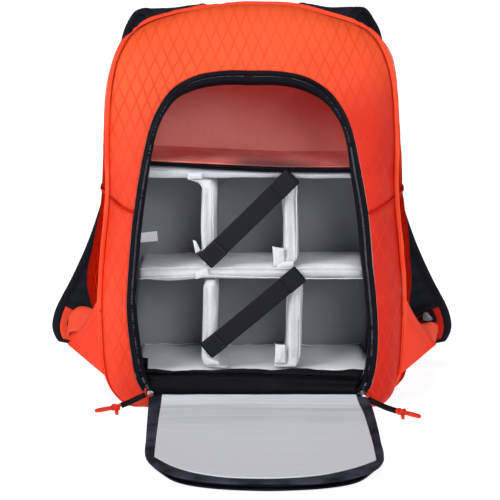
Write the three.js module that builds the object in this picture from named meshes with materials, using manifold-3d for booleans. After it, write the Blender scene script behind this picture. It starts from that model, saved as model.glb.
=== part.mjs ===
// A camera backpack that stands upright with its front flap unzipped and folded down onto the floor.
// Millimetres, +Z up, -Y towards the open front, +X to the right of a viewer who looks into the bag.
// The origin is on the floor, in the middle of the base.
import * as THREE from 'three';
import { mergeVertices } from 'three/addons/utils/BufferGeometryUtils.js';
import Module from 'manifold-3d';

const wasm = await Module();
wasm.setup();

// Body of the bag
const BAG_HEIGHT = 430; // floor to the crown
const SEAM_HALF_WIDTH = 161; // middle to the front seam, at the belly
const OPENING_HALF_WIDTH = 131; // middle to the edge of the front opening, at its widest
const BACK_HALF_WIDTH = 166; // middle to the rear edge of the side, at its widest
const FRONT_Y = -88; // fullest point of the front panel
const BACK_Y = 68; // rear edge of the sides
const SIDE_BULGE = 10; // how far the sides swell outwards
const CLOTH = 2.2; // coated cloth with its thin foam
const SEAM_GAP = 0.2; // each panel stops this far short of its seam
const CLEARANCE = 0.35; // between a piece and what carries it

// Padded back
const BACK_PAD = 14;
const BACK_PAD_CROWN = 8; // how far the pad stands out behind the sides
const LINING = 1.2;

// Zip and edging round the front opening
const TAPE_WIDTH = 6;
const TAPE_THICK = 1.6;
const COIL_HEIGHT = 1.2;
const FACING_WIDTH = 4.5;
const FACING_DEPTH = 11;
const FACING_THICK = 1.2;
const SILL_HALF_WIDTH = 107;
const TAPE_DROP = 0.3; // the tape lies this far below the cloth's face
const FACING_DROP = { edge: 0.6, lip: 1.4 };
const FACING_FLARE = 0.6; // the facing leans this far into the opening at its inner edge

// Padded insert
const INSERT_HALF_WIDTH = 123; // inside
const INSERT_FRONT_Y = -60;
const INSERT_DEPTH = 95; // inside
const INSERT_TOP = 246.3; // underside of the top wall
const INSERT_WALL = 9;
const INSERT_FLOOR = 12;
const INSERT_BASE = 22; // black padded foot under the grey floor
const COVER = 1.6;
const COVER_CORNER = 15;
const CUT_PAST = 10; // a cutter reaches this far past the face that it opens

// Dividers and the straps that keep the contents in
const DIVIDER = 14;
const SHELF_TOP = 151; // top of the level divider
const SHELF_SAG = 2.5; // drop of its left part
const DIVIDER_FLANGE = 4.5; // thickness of the folded end that grips the wall
const FLANGE_REACH = 23; // from the divider's middle line to the end of the fold
const KEEPER_WIDTH = 20;
const KEEPER_THICK = 1.8;
const KEEPER_BOW = 5; // how far the middle of a keeper strap stands off the dividers
const LABEL = { width: 22, height: 12, thick: 0.6, low: 168, tilt: 1.5, y: -14 };

// Flap
const FLAP_LENGTH = 331;
const FLAP_HALF_WIDTH = 117;
const FLAP_SHIFT = 8; // how far to the right of the bag's middle the flap lies at the hinge
const FLAP_SKEW = 7; // and how much farther at its near end
const FLAP_REAR_Y = -91.5;
const FLAP_SHELL = 2.6;
const RIM_WIDTH = 9;
const HINGE_INSET = 0.6; // share of an inset that is taken off at the hinge
const FLAP_TAPE = 3;
const HINGE_THICK = 1.4;
const HINGE_LEFT_X = -106;
const HINGE_RIGHT_X = 110;

// Shoulder straps, their ends and the side wings
const STRAP_WIDTH = 64;
const STRAP_THICK = 10;
const PATCH_THICK = 1;
const PATCH_INSET = 9; // from the strap's edge to the patch
const PATCH_ROWS = { start: 2.5, end: 0.5 }; // rows before the end of the strap's table
const LOCK_ROW = 2.1; // the ladder lock's own row, counted the same way
const WEBBING_WIDTH = 25;
const WEBBING_THICK = 1.8;
const WING_THICK = 2;
const WING_BELLY = 4; // how far the middle of a wing bows forwards
const LOCK = { width: 34, height: 24, thick: 4, slot: 3.6, bar: 4, corner: 3 };

// Zip pulls
const PULL_CORD = 3; // diameter
const SLEEVE_OUTER = 7.2;
const SLEEVE_INNER = 4;
const KNOT = 9;
const SLIDER = { width: 7.2, rise: 2.4, fall: 2, clear: 5, past: 1.2 };

// One row for each station round the right half of the bag, from the middle of the hinge, round
// the side, to the middle of the top. In both tables x is a share of the half width there, y of the
// depth from the rear edge forwards, and z of the height.
// Front panel: o is the edge of the opening and m the panel's fullest line. trim widens the edging.
const FRONT_LINES = [
  { ox: 0, oy: 0.962, oz: 0.033, mx: 0, my: 0.968, mz: 0.007, trim: 1 },
  { ox: 0.46, oy: 0.962, oz: 0.033, mx: 0.373, my: 0.968, mz: 0.007, trim: 1 },
  { ox: 0.825, oy: 0.962, oz: 0.033, mx: 0.72, my: 0.968, mz: 0.009, trim: 1 },
  { ox: 0.905, oy: 0.962, oz: 0.047, mx: 0.845, my: 0.974, mz: 0.026, trim: 1 },
  { ox: 0.962, oy: 0.97, oz: 0.093, mx: 0.919, my: 0.987, mz: 0.084, trim: 1 },
  { ox: 0.996, oy: 0.985, oz: 0.186, mx: 0.95, my: 1, mz: 0.191, trim: 1 },
  { ox: 1, oy: 0.994, oz: 0.275, mx: 0.95, my: 1.006, mz: 0.287, trim: 1 },
  { ox: 0.977, oy: 0.99, oz: 0.384, mx: 0.925, my: 0.994, mz: 0.398, trim: 1 },
  { ox: 0.943, oy: 0.974, oz: 0.493, mx: 0.888, my: 0.974, mz: 0.512, trim: 1 },
  { ox: 0.874, oy: 0.942, oz: 0.609, mx: 0.87, my: 0.949, mz: 0.637, trim: 1 },
  { ox: 0.8, oy: 0.897, oz: 0.698, mx: 0.832, my: 0.897, mz: 0.758, trim: 1.1 },
  { ox: 0.718, oy: 0.862, oz: 0.749, mx: 0.795, my: 0.833, mz: 0.851, trim: 1.2 },
  { ox: 0.595, oy: 0.82, oz: 0.793, mx: 0.671, my: 0.724, mz: 0.942, trim: 1.3 },
  { ox: 0.42, oy: 0.788, oz: 0.823, mx: 0.484, my: 0.577, mz: 1.016, trim: 1.4 },
  { ox: 0.214, oy: 0.769, oz: 0.835, mx: 0.248, my: 0.545, mz: 1.044, trim: 1.4 },
  { ox: 0, oy: 0.766, oz: 0.837, mx: 0, my: 0.538, mz: 1.047, trim: 1.4 },
];
// Sides: s is the front seam and b the rear edge. bulge is a share of SIDE_BULGE.
const SIDE_LINES = [
  { sx: 0, sy: 0.923, sz: 0, bx: 0, bz: 0, bulge: 0 },
  { sx: 0.373, sy: 0.923, sz: 0, bx: 0.361, bz: 0, bulge: 0 },
  { sx: 0.745, sy: 0.921, sz: 0, bx: 0.735, bz: 0, bulge: 0 },
  { sx: 0.888, sy: 0.91, sz: 0.019, bx: 0.886, bz: 0.021, bulge: 0.3 },
  { sx: 0.975, sy: 0.891, sz: 0.079, bx: 0.97, bz: 0.081, bulge: 0.7 },
  { sx: 1, sy: 0.859, sz: 0.195, bx: 1, bz: 0.195, bulge: 0.9 },
  { sx: 1, sy: 0.84, sz: 0.298, bx: 1, bz: 0.298, bulge: 0.95 },
  { sx: 0.978, sy: 0.82, sz: 0.409, bx: 0.988, bz: 0.409, bulge: 0.9 },
  { sx: 0.947, sy: 0.801, sz: 0.526, bx: 0.964, bz: 0.526, bulge: 0.9 },
  { sx: 0.947, sy: 0.769, sz: 0.656, bx: 0.946, bz: 0.656, bulge: 0.9 },
  { sx: 0.932, sy: 0.724, sz: 0.786, bx: 0.916, bz: 0.777, bulge: 0.8 },
  { sx: 0.885, sy: 0.654, sz: 0.87, bx: 0.861, bz: 0.847, bulge: 0.7 },
  { sx: 0.776, sy: 0.526, sz: 0.935, bx: 0.747, bz: 0.9, bulge: 0.5 },
  { sx: 0.571, sy: 0.385, sz: 0.97, bx: 0.542, bz: 0.93, bulge: 0.3 },
  { sx: 0.298, sy: 0.308, sz: 0.984, bx: 0.283, bz: 0.941, bulge: 0.3 },
  { sx: 0, sy: 0.282, sz: 0.986, bx: 0, bz: 0.942, bulge: 0.3 },
];
const STATIONS = FRONT_LINES.map((line, i) => ({ ...line, ...SIDE_LINES[i] }));
const TOP = STATIONS.length - 1; // station in the middle of the top
const ROUND = 2 * TOP; // stations all the way round
const PER_STATION = 3; // columns of the panels for each station
const CORNER_STATION = 3; // the base meets the lower side here
const CROSS_SEAM_STATION = 8; // the upper panels meet the lower ones here
const FRONT_STEPS = [0, 0.22, 0.45, 0.72, 1]; // from the opening to the front seam
const SIDE_STEPS = [0.2, 0.4, 0.6, 0.8, 1]; // from the front seam to the rear edge

// Folds and swellings of the sides. at is a station counted all the way round, across runs from the
// front seam to the rear edge, and out is a share of SIDE_BULGE.
const FOLD_SPREAD = 0.25; // share of the way across that a fold fades over
const SIDE_FOLDS = [
  { name: 'crease at the upper right corner', at: 11, across: 0.3, reach: 0.9, out: 0.6 },
  { name: 'swelling at the lower right corner', at: 3.6, across: 0.5, reach: 0.57, out: 1.3 },
  { name: 'swelling low on the right', at: 6.2, across: 0.8, reach: 1.1, out: 0.7 },
  { name: 'swelling low on the left', at: ROUND - 5.9, across: 0.8, reach: 1, out: 1.5 },
  { name: 'crease at the cross seam on the right', at: 8.3, across: 0.2, reach: 0.6, out: 0.3 },
  { name: 'flat above the cross seam on the right', at: 9.6, across: 0.6, reach: 1.1, out: -0.3 },
];

// Outline of the flap. along is a share of its length from the hinge, half of its half width.
const FLAP_OUTLINE = [
  { along: 0, half: 0 },
  { along: 0, half: 0.46 },
  { along: 0, half: 0.88 },
  { along: 0.008, half: 0.932 },
  { along: 0.04, half: 0.957 },
  { along: 0.2, half: 0.975 },
  { along: 0.4, half: 0.99 },
  { along: 0.56, half: 0.995 },
  { along: 0.66, half: 0.972 },
  { along: 0.75, half: 0.905 },
  { along: 0.83, half: 0.825 },
  { along: 0.9, half: 0.735 },
  { along: 0.95, half: 0.58 },
  { along: 0.985, half: 0.33 },
  { along: 1, half: 0 },
];

// Section of the flap's rim: inset from the outline and height over the shell, in millimetres.
const RIM_SECTION = [
  { inset: 0.8, up: 0 },
  { inset: 0, up: 2.4 },
  { inset: 1.6, up: 6.2 },
  { inset: 5, up: 7.4 },
  { inset: RIM_WIDTH, up: 6.4 },
  { inset: RIM_WIDTH, up: 0 },
];

// Section of the second band of the zip, from the rim outwards.
const FLAP_TAPE_SECTION = [
  { out: CLEARANCE, up: 1.6 },
  { out: FLAP_TAPE, up: -0.2 },
  { out: FLAP_TAPE, up: -1.6 },
  { out: CLEARANCE, up: -0.2 },
];

// Line of the sill, from the lower edge of the opening back to the insert, in millimetres.
const SILL_LINE = [
  { back: 0.8, up: 1.6 },
  { back: 6, up: 11 },
  { back: 13, up: 19 },
];

// Upright dividers: x of the middle line at foot and head, the end that is folded, and the side that
// the fold turns away from.
const DIVIDERS = [
  { name: 'divider_upper_left', upper: true, foot: -47, head: -46, folded: 'head', turn: 1 },
  { name: 'divider_upper_right', upper: true, foot: 43, head: 40, folded: 'foot', turn: 1 },
  { name: 'divider_lower_left', upper: false, foot: -47, head: -44, folded: 'foot', turn: -1 },
  { name: 'divider_lower_right', upper: false, foot: 45, head: 47, folded: 'foot', turn: 1 },
];

// Keeper straps, between the middles of their two ends.
const KEEPERS = [
  { name: 'keeper_strap_upper', lowX: -51, lowZ: 156, highX: 44, highZ: 250 },
  { name: 'keeper_strap_lower', lowX: -50, lowZ: 58, highX: 52, highZ: 144 },
];

// Middle line of a shoulder strap: x as a share of BACK_HALF_WIDTH, back as a share of STRAP_THICK
// behind the pad, z as a share of BAG_HEIGHT and wide of STRAP_WIDTH. lean lowers the outer edge.
const STRAP_PATH = [
  { x: 0.43, back: 0.55, z: 0.79, wide: 1.02, lean: 0 },
  { x: 0.435, back: 0.55, z: 0.87, wide: 1.04, lean: 0.02 },
  { x: 0.45, back: 0.95, z: 0.925, wide: 1.05, lean: 0.1 },
  { x: 0.49, back: 2.1, z: 0.951, wide: 1.05, lean: 0.2 },
  { x: 0.575, back: 3.6, z: 0.936, wide: 1.05, lean: 0.25 },
  { x: 0.675, back: 5.1, z: 0.89, wide: 1.05, lean: 0.2 },
  { x: 0.73, back: 6.3, z: 0.79, wide: 1.02, lean: 0.1 },
  { x: 0.755, back: 7, z: 0.66, wide: 1, lean: 0 },
  { x: 0.79, back: 7, z: 0.53, wide: 1, lean: 0 },
  { x: 0.87, back: 6.7, z: 0.41, wide: 1, lean: 0 },
  { x: 0.97, back: 6.1, z: 0.3, wide: 1, lean: 0 },
  { x: 1.09, back: 5.3, z: 0.2, wide: 1, lean: 0 },
  { x: 1.185, back: 4.7, z: 0.13, wide: 1, lean: 0 },
  { x: 1.22, back: 4.3, z: 0.088, wide: 0.88, lean: 0 },
  { x: 1.235, back: 4.1, z: 0.064, wide: 0.58, lean: 0 },
];

// Corners of a side wing: x as a share of SEAM_HALF_WIDTH, y in millimetres, z as a share of BAG_HEIGHT.
const WING_OUTER = [
  { x: 1.115, y: 0, z: 0.188 },
  { x: 1.262, y: 8, z: 0.119 },
];
const WING_GRID = { high: 5.8, low: 4, rows: 6, columns: 5 }; // its first and last station at the seam

// Middle line of the webbing from the wing to the strap: x as a share of BACK_HALF_WIDTH, y in
// millimetres, z as a share of BAG_HEIGHT. lean is how far the band's width leans over to the side.
const WEBBING_PATH = [
  { x: 1.162, y: 7.2, z: 0.151, lean: -0.72 },
  { x: 1.2, y: 16, z: 0.163, lean: -0.3 },
  { x: 1.234, y: 35, z: 0.173, lean: 0 },
  { x: 1.225, y: 60, z: 0.166, lean: 0 },
  { x: 1.2, y: 88, z: 0.152, lean: 0.6 },
  { x: 1.19, y: 109.8, z: 0.145, lean: 3 },
];

// Route of each pull cord, from the slider to its knot on the floor.
const PULL_ROUTES = {
  left: [
    [-114, -91.6, 19], [-116.2, -92.3, 18.2], [-118.3, -92.6, 17.1], [-120.4, -92.6, 15.9], [-122.4, -92.3, 14.7],
    [-124.4, -91.8, 13.5], [-126.5, -91.3, 12.3], [-128.5, -90.9, 11.1], [-130.6, -90.4, 9.9], [-132.6, -90, 8.8],
    [-134.7, -89.7, 7.7], [-136.9, -89.5, 6.7], [-139.1, -89.5, 5.8], [-141.4, -90, 5.1], [-143.6, -90.8, 4.6],
  ],
  right: [
    [121, -91.6, 13], [123.2, -92.9, 12], [125.3, -94.2, 11.1], [127.4, -95.6, 10.2], [129.5, -97.1, 9.4],
    [131.6, -98.6, 8.6], [133.7, -100.1, 7.9], [135.8, -101.7, 7.3], [137.8, -103.3, 6.7], [139.9, -104.9, 6.2],
    [142, -106.6, 5.7], [144, -108.3, 5.3], [146, -110.1, 5], [148, -111.8, 4.7], [150, -113.6, 4.6],
  ],
};
const PULL_TAILS = { left: [-166, -104, 1.7], right: [177.5, -132, 1.7] };

// Knot and looped tail of a pull cord: along is a share of the way to the tail's end, wide a share of
// KNOT, and flat the height as a share of the width.
const KNOT_ROWS = [
  { along: 0, wide: 0.45, flat: 1 },
  { along: 0.07, wide: 0.95, flat: 0.95 },
  { along: 0.2, wide: 1.05, flat: 0.9 },
  { along: 0.31, wide: 0.75, flat: 0.85 },
  { along: 0.38, wide: 0.55, flat: 0.7 },
  { along: 0.6, wide: 0.62, flat: 0.55 },
  { along: 0.85, wide: 0.62, flat: 0.5 },
  { along: 1, wide: 0.3, flat: 0.8 },
];

// Section of a zip slider, seen along its run: across as a share of its width, up in millimetres.
const SLIDER_SECTION = [
  { across: -0.5, up: -SLIDER.fall },
  { across: 0.5, up: -SLIDER.fall },
  { across: 0.5, up: 1 },
  { across: 0.22, up: SLIDER.rise },
  { across: -0.22, up: SLIDER.rise },
  { across: -0.5, up: 1 },
];

// Colours
const ORANGE = { color: 0xf4532f, roughness: 0.62, metalness: 0 };
const ORANGE_LINING = { color: 0x8e1c14, roughness: 0.8, metalness: 0 };
const BLACK_CLOTH = { color: 0x17181d, roughness: 0.85, metalness: 0 };
const BLACK_MESH = { color: 0x1c1d22, roughness: 0.95, metalness: 0 };
const BLACK_TAPE = { color: 0x121319, roughness: 0.7, metalness: 0 };
const GREY_FLEECE = { color: 0xb9bac0, roughness: 0.95, metalness: 0 };
const GREY_LINING = { color: 0xb8bbc4, roughness: 0.55, metalness: 0 };
const WHITE_LABEL = { color: 0xe6e6ea, roughness: 0.7, metalness: 0 };
const ORANGE_WEBBING = { color: 0xf0482a, roughness: 0.7, metalness: 0 };
const GREY_PLASTIC = { color: 0x8c9097, roughness: 0.45, metalness: 0 };
const BLACK_RUBBER = { color: 0x202226, roughness: 0.55, metalness: 0 };
const STEEL = { color: 0xc9cbd0, roughness: 0.3, metalness: 0.9 };
const ORANGE_CORD = { color: 0xff4a22, roughness: 0.7, metalness: 0 };

const bag = new THREE.Group();
bag.name = 'camera_backpack';

function add(name, geometry, finish) {
  const mesh = new THREE.Mesh(geometry, new THREE.MeshStandardMaterial(finish));
  mesh.name = name;
  bag.add(mesh);
  return mesh;
}

const vec = (x, y, z) => new THREE.Vector3(x, y, z);
const along = (from, to, share) => from.clone().lerp(to, share);
const wrap = (index, count) => ((index % count) + count) % count;

// Catmull-Rom value between the second and third of four numbers.
function spline([a, b, c, d], t) {
  return 0.5 * (2 * b + (c - a) * t + (2 * a - 5 * b + 4 * c - d) * t * t + (3 * b - a - 3 * c + d) * t ** 3);
}

// Reads one column of an open table at a fractional row.
function tableValue(rows, key, at) {
  const first = Math.min(Math.floor(at), rows.length - 2);
  const last = rows.length - 1;
  const picked = [-1, 0, 1, 2].map((step) => rows[THREE.MathUtils.clamp(first + step, 0, last)][key]);
  return spline(picked, at - first);
}

// A geometry from triangles listed as triples of points, turned so that its faces point out.
function closedGeometry(triangles) {
  let volume = 0;
  for (const [a, b, c] of triangles) volume += a.dot(b.clone().cross(c));
  const turned = triangles.map(([a, b, c]) => (volume > 0 ? [a, b, c] : [a, c, b]));
  const positions = turned.flat().flatMap((point) => point.toArray());
  const geometry = new THREE.BufferGeometry();
  geometry.setAttribute('position', new THREE.Float32BufferAttribute(positions, 3));
  geometry.computeVertexNormals();
  return geometry;
}

function quad(triangles, a, b, c, d) {
  triangles.push([a, b, c], [a, c, d]);
}

// The solid between two grids of points with the same rows and columns.
function slab(outer, inner, loop = false) {
  const triangles = [];
  const rows = outer.length;
  const columns = outer[0].length;
  const lastColumn = loop ? columns : columns - 1;
  for (let r = 0; r < rows - 1; r += 1) {
    for (let c = 0; c < lastColumn; c += 1) {
      const n = (c + 1) % columns;
      quad(triangles, outer[r][c], outer[r][n], outer[r + 1][n], outer[r + 1][c]);
      quad(triangles, inner[r][c], inner[r + 1][c], inner[r + 1][n], inner[r][n]);
    }
  }
  for (let c = 0; c < lastColumn; c += 1) {
    const n = (c + 1) % columns;
    quad(triangles, outer[0][c], inner[0][c], inner[0][n], outer[0][n]);
    quad(triangles, outer[rows - 1][c], outer[rows - 1][n], inner[rows - 1][n], inner[rows - 1][c]);
  }
  if (!loop) {
    const end = columns - 1;
    for (let r = 0; r < rows - 1; r += 1) {
      quad(triangles, outer[r][0], outer[r + 1][0], inner[r + 1][0], inner[r][0]);
      quad(triangles, outer[r][end], inner[r][end], inner[r + 1][end], outer[r + 1][end]);
    }
  }
  return closedGeometry(triangles);
}

// The solid through a row of closed sections. It is capped at both ends, or joined end to end.
function loft(sections, ring = false) {
  const triangles = [];
  const points = sections[0].length;
  const spans = ring ? sections.length : sections.length - 1;
  for (let s = 0; s < spans; s += 1) {
    const here = sections[s];
    const next = sections[(s + 1) % sections.length];
    for (let p = 0; p < points; p += 1) {
      const n = (p + 1) % points;
      quad(triangles, here[p], here[n], next[n], next[p]);
    }
  }
  if (!ring) {
    for (const [section, reversed] of [[sections[0], true], [sections[sections.length - 1], false]]) {
      const centre = section.reduce((sum, p) => sum.add(p), vec(0, 0, 0)).divideScalar(points);
      for (let p = 0; p < points; p += 1) {
        const n = (p + 1) % points;
        triangles.push(reversed ? [centre, section[n], section[p]] : [centre, section[p], section[n]]);
      }
    }
  }
  return closedGeometry(triangles);
}

// A profile in X and Z, pushed from yFront to yBack.
function extrudeAlongY(profile, yFront, yBack) {
  const shape = new THREE.Shape(profile.map(([x, z]) => new THREE.Vector2(x, z)));
  const geometry = new THREE.ExtrudeGeometry(shape, { depth: yBack - yFront, bevelEnabled: false });
  return geometry.rotateX(Math.PI / 2).translate(0, yBack, 0);
}

// A block with its lower corners cut off.
function blockProfile(halfWidth, low, high, corner) {
  const shoulder = corner * 0.3;
  return [
    [-halfWidth + corner, low], [halfWidth - corner, low], [halfWidth - shoulder, low + shoulder],
    [halfWidth, low + corner], [halfWidth, high], [-halfWidth, high], [-halfWidth, low + corner],
    [-halfWidth + shoulder, low + shoulder],
  ];
}

// The same solid on the other side of the bag.
function mirrored(geometry) {
  const copy = geometry.index ? geometry.toNonIndexed() : geometry.clone();
  copy.scale(-1, 1, 1);
  const { position } = copy.attributes;
  for (let i = 0; i < position.count; i += 3) {
    const second = new THREE.Vector3().fromBufferAttribute(position, i + 1);
    const third = new THREE.Vector3().fromBufferAttribute(position, i + 2);
    position.setXYZ(i + 1, ...third.toArray());
    position.setXYZ(i + 2, ...second.toArray());
  }
  copy.computeVertexNormals();
  return copy;
}

function addPair(name, geometry, finish) {
  add(`${name}_left`, mirrored(geometry), finish);
  add(`${name}_right`, geometry, finish);
}

function toManifold(geometry) {
  const bare = geometry.clone();
  bare.deleteAttribute('normal');
  bare.deleteAttribute('uv');
  const merged = mergeVertices(bare, 1e-4);
  const mesh = new wasm.Mesh({
    numProp: 3,
    vertProperties: new Float32Array(merged.attributes.position.array),
    triVerts: new Uint32Array(merged.index.array),
  });
  return new wasm.Manifold(mesh);
}

function fromManifold(solid) {
  const mesh = solid.getMesh();
  const geometry = new THREE.BufferGeometry();
  geometry.setAttribute('position', new THREE.BufferAttribute(new Float32Array(mesh.vertProperties), 3));
  geometry.setIndex(new THREE.BufferAttribute(new Uint32Array(mesh.triVerts), 1));
  geometry.computeVertexNormals();
  return geometry;
}

// Body panels

// One column of the station table at a fractional station, counted all the way round.
function stationValue(key, at) {
  const first = Math.floor(at);
  const picked = [-1, 0, 1, 2].map((step) => {
    const index = wrap(first + step, ROUND);
    const mirrored = index > TOP;
    const value = STATIONS[mirrored ? ROUND - index : index][key];
    return mirrored && key.endsWith('x') ? -value : value;
  });
  return spline(picked, at - first);
}

const depthAt = (share) => BACK_Y + (FRONT_Y - BACK_Y) * share;
const heightAt = (share) => BAG_HEIGHT * Math.max(share, 0); // the base stays flat on the floor

// A point of one of the lines of the station table, which the letter of its columns names.
function linePoint(line, halfWidth, at) {
  const [x, y, z] = ['x', 'y', 'z'].map((axis) => stationValue(line + axis, at));
  return vec(halfWidth * x, depthAt(y), heightAt(z));
}

const openingPoint = (at) => linePoint('o', OPENING_HALF_WIDTH, at);
const fullestPoint = (at) => linePoint('m', SEAM_HALF_WIDTH, at);
const seamPoint = (at) => linePoint('s', SEAM_HALF_WIDTH, at);

function backPoint(at) {
  return vec(BACK_HALF_WIDTH * stationValue('bx', at), BACK_Y, heightAt(stationValue('bz', at)));
}

function frontPoint(at, share) {
  const full = fullestPoint(at);
  return along(along(openingPoint(at), full, share), along(full, seamPoint(at), share), share);
}

function sidePoint(at, share) {
  const point = along(seamPoint(at), backPoint(at), share);
  const before = backPoint(at - 0.25);
  const after = backPoint(at + 0.25);
  const outward = vec(after.z - before.z, 0, before.x - after.x).normalize();
  let out = stationValue('bulge', at) * 4 * share * (1 - share);
  for (const fold of SIDE_FOLDS) {
    const round = (at - fold.at) / fold.reach;
    const across = (share - fold.across) / FOLD_SPREAD;
    out += share < 1 ? fold.out * Math.exp(-round * round - across * across) : 0;
  }
  return point.addScaledVector(outward, SIDE_BULGE * Math.max(out, 0));
}

const COLUMNS = ROUND * PER_STATION;
const SEAM_ROW = FRONT_STEPS.length - 1;
const bagOuter = [
  ...FRONT_STEPS.map((share) => Array.from({ length: COLUMNS }, (_, c) => frontPoint(c / PER_STATION, share))),
  ...SIDE_STEPS.map((share) => Array.from({ length: COLUMNS }, (_, c) => sidePoint(c / PER_STATION, share))),
];
const LAST_ROW = bagOuter.length - 1;

// Outward normal of the bag's surface at a row and column, halfway across the corner at a seam.
function bagNormal(r, c) {
  const here = bagOuter[r][c];
  const before = bagOuter[r][wrap(c - 1, COLUMNS)];
  const after = bagOuter[r][wrap(c + 1, COLUMNS)];
  const round = after.clone().sub(before).normalize();
  const across = vec(0, 0, 0);
  if (r > 0) across.add(here.clone().sub(bagOuter[r - 1][c]).normalize());
  if (r < LAST_ROW) across.add(bagOuter[r + 1][c].clone().sub(here).normalize());
  return across.cross(round).normalize();
}

const bagInner = bagOuter.map(
  (row, r) => row.map((point, c) => point.clone().addScaledVector(bagNormal(r, c), -CLOTH)));

// A cloth panel between two rows and two stations, drawn back from its seams.
function bagPanel(rowFrom, rowTo, stationFrom, stationTo) {
  const from = stationFrom * PER_STATION;
  const count = (stationTo - stationFrom) * PER_STATION + 1;
  const grids = [bagOuter, bagInner].map((grid) => {
    const cut = [];
    for (let r = rowFrom; r <= rowTo; r += 1) {
      cut.push(Array.from({ length: count }, (_, c) => grid[r][wrap(from + c, COLUMNS)].clone()));
    }
    const drawBack = (edge, next) => {
      edge.addScaledVector(next.clone().sub(edge).normalize(), SEAM_GAP);
    };
    const rows = cut.length;
    for (let c = 0; c < count; c += 1) {
      drawBack(cut[0][c], cut[1][c]);
      drawBack(cut[rows - 1][c], cut[rows - 2][c]);
    }
    for (let r = 0; r < rows; r += 1) {
      drawBack(cut[r][0], cut[r][1]);
      drawBack(cut[r][count - 1], cut[r][count - 2]);
    }
    return cut;
  });
  return slab(grids[0], grids[1]);
}

const CROSS_LEFT = ROUND - CROSS_SEAM_STATION;
add('front_panel_upper', bagPanel(0, SEAM_ROW, CROSS_SEAM_STATION, CROSS_LEFT), ORANGE);
add('front_panel_lower', bagPanel(0, SEAM_ROW, CROSS_LEFT, ROUND + CROSS_SEAM_STATION), ORANGE);
add('side_upper', bagPanel(SEAM_ROW, LAST_ROW, CROSS_SEAM_STATION, CROSS_LEFT), ORANGE);
add('side_lower_right', bagPanel(SEAM_ROW, LAST_ROW, CORNER_STATION, CROSS_SEAM_STATION), ORANGE);
add('side_lower_left', bagPanel(SEAM_ROW, LAST_ROW, CROSS_LEFT, ROUND - CORNER_STATION), ORANGE);
add('base_panel', bagPanel(SEAM_ROW, LAST_ROW, ROUND - CORNER_STATION, ROUND + CORNER_STATION), ORANGE);

// Padded back and its lining

// Rear edge of the bag, one point for each station, drawn in by some distance.
function backOutline(inset) {
  const points = Array.from({ length: ROUND }, (_, at) => backPoint(at));
  return points.map((point, i) => {
    const before = points[wrap(i - 1, ROUND)];
    const after = points[wrap(i + 1, ROUND)];
    const inward = vec(before.z - after.z, 0, after.x - before.x).normalize();
    return point.clone().addScaledVector(inward, inset);
  });
}

// A closed pad from rings of an outline in X and Z. Each ring is a share of the outline's size about
// its middle, at its own y. The first and the last ring are closed flat.
function padFromRings(outline, rings) {
  const middle = vec(0, 0, BAG_HEIGHT * 0.47);
  const sections = rings.map(({ size, y }) => outline.map((point) => {
    const placed = along(middle, point, size);
    placed.y = y;
    return placed;
  }));
  return loft(sections);
}

const padOutline = backOutline(CLOTH + CLEARANCE);
const padFrontY = BACK_Y - BACK_PAD;
const padBackY = BACK_Y + BACK_PAD_CROWN;
add('back_pad', padFromRings(padOutline, [
  { size: 1, y: padFrontY },
  { size: 1, y: BACK_Y },
  { size: 0.985, y: BACK_Y + BACK_PAD_CROWN * 0.6 },
  { size: 0.95, y: padBackY },
]), BLACK_MESH);
add('back_lining', padFromRings(padOutline, [
  { size: 0.985, y: padFrontY - CLEARANCE },
  { size: 0.985, y: padFrontY - CLEARANCE - LINING },
]), ORANGE_LINING);

// Zip tape, facing and sill of the opening

// A point of the edging: in towards the middle of the opening, and down below the bag's surface.
function edgingPoint(column, inward, down) {
  const c = wrap(column, COLUMNS);
  const edge = bagOuter[0][c];
  const direction = edge.clone().sub(bagOuter[1][c]).normalize();
  return edge.clone().addScaledVector(direction, inward).addScaledVector(bagNormal(0, c), -down);
}

const EDGING_FROM = 8; // column at the right end of the hinge
const EDGING_TO = COLUMNS - EDGING_FROM;

// Rows of points that follow the edge of the opening, from a profile of [inward, down] pairs.
function edgingRows(profile) {
  const rows = [];
  for (let c = EDGING_FROM; c <= EDGING_TO; c += 1) {
    const trim = stationValue('trim', c / PER_STATION);
    rows.push(profile(trim).map(([inward, down]) => edgingPoint(c, inward, down)));
  }
  return rows;
}

add('zip_tape_body', loft(edgingRows((trim) => {
  const width = TAPE_WIDTH * trim;
  return [
    [CLEARANCE, TAPE_DROP], [width * 0.6, TAPE_DROP], [width * 0.85, TAPE_DROP - COIL_HEIGHT],
    [width, TAPE_DROP], [width, TAPE_DROP + TAPE_THICK], [CLEARANCE, TAPE_DROP + TAPE_THICK],
  ];
})), BLACK_TAPE);

// The facing runs in from the tape to its lip, and from there down into the bag.
function facingFace(trim, under) {
  const start = TAPE_WIDTH * trim + CLEARANCE;
  const lip = start + FACING_WIDTH * trim;
  return [
    [start, FACING_DROP.edge + under], [lip - under, FACING_DROP.lip + under],
    [lip + FACING_FLARE - under, FACING_DROP.lip + FACING_DEPTH],
  ];
}
add('opening_facing', slab(
  edgingRows((trim) => facingFace(trim, 0)), edgingRows((trim) => facingFace(trim, FACING_THICK))), BLACK_CLOTH);

// A strip bent along a line in Y and Z, level along X.
function stripAlongX(line, thick, xFrom, xTo) {
  const under = line.map(([y, z], i) => {
    const [ya, za] = line[Math.max(i - 1, 0)];
    const [yb, zb] = line[Math.min(i + 1, line.length - 1)];
    const length = Math.hypot(yb - ya, zb - za);
    return [y + (thick * (zb - za)) / length, z - (thick * (yb - ya)) / length];
  });
  const rows = (points) => points.map(([y, z]) => [vec(xFrom, y, z), vec(xTo, y, z)]);
  return slab(rows(line), rows(under));
}

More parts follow.
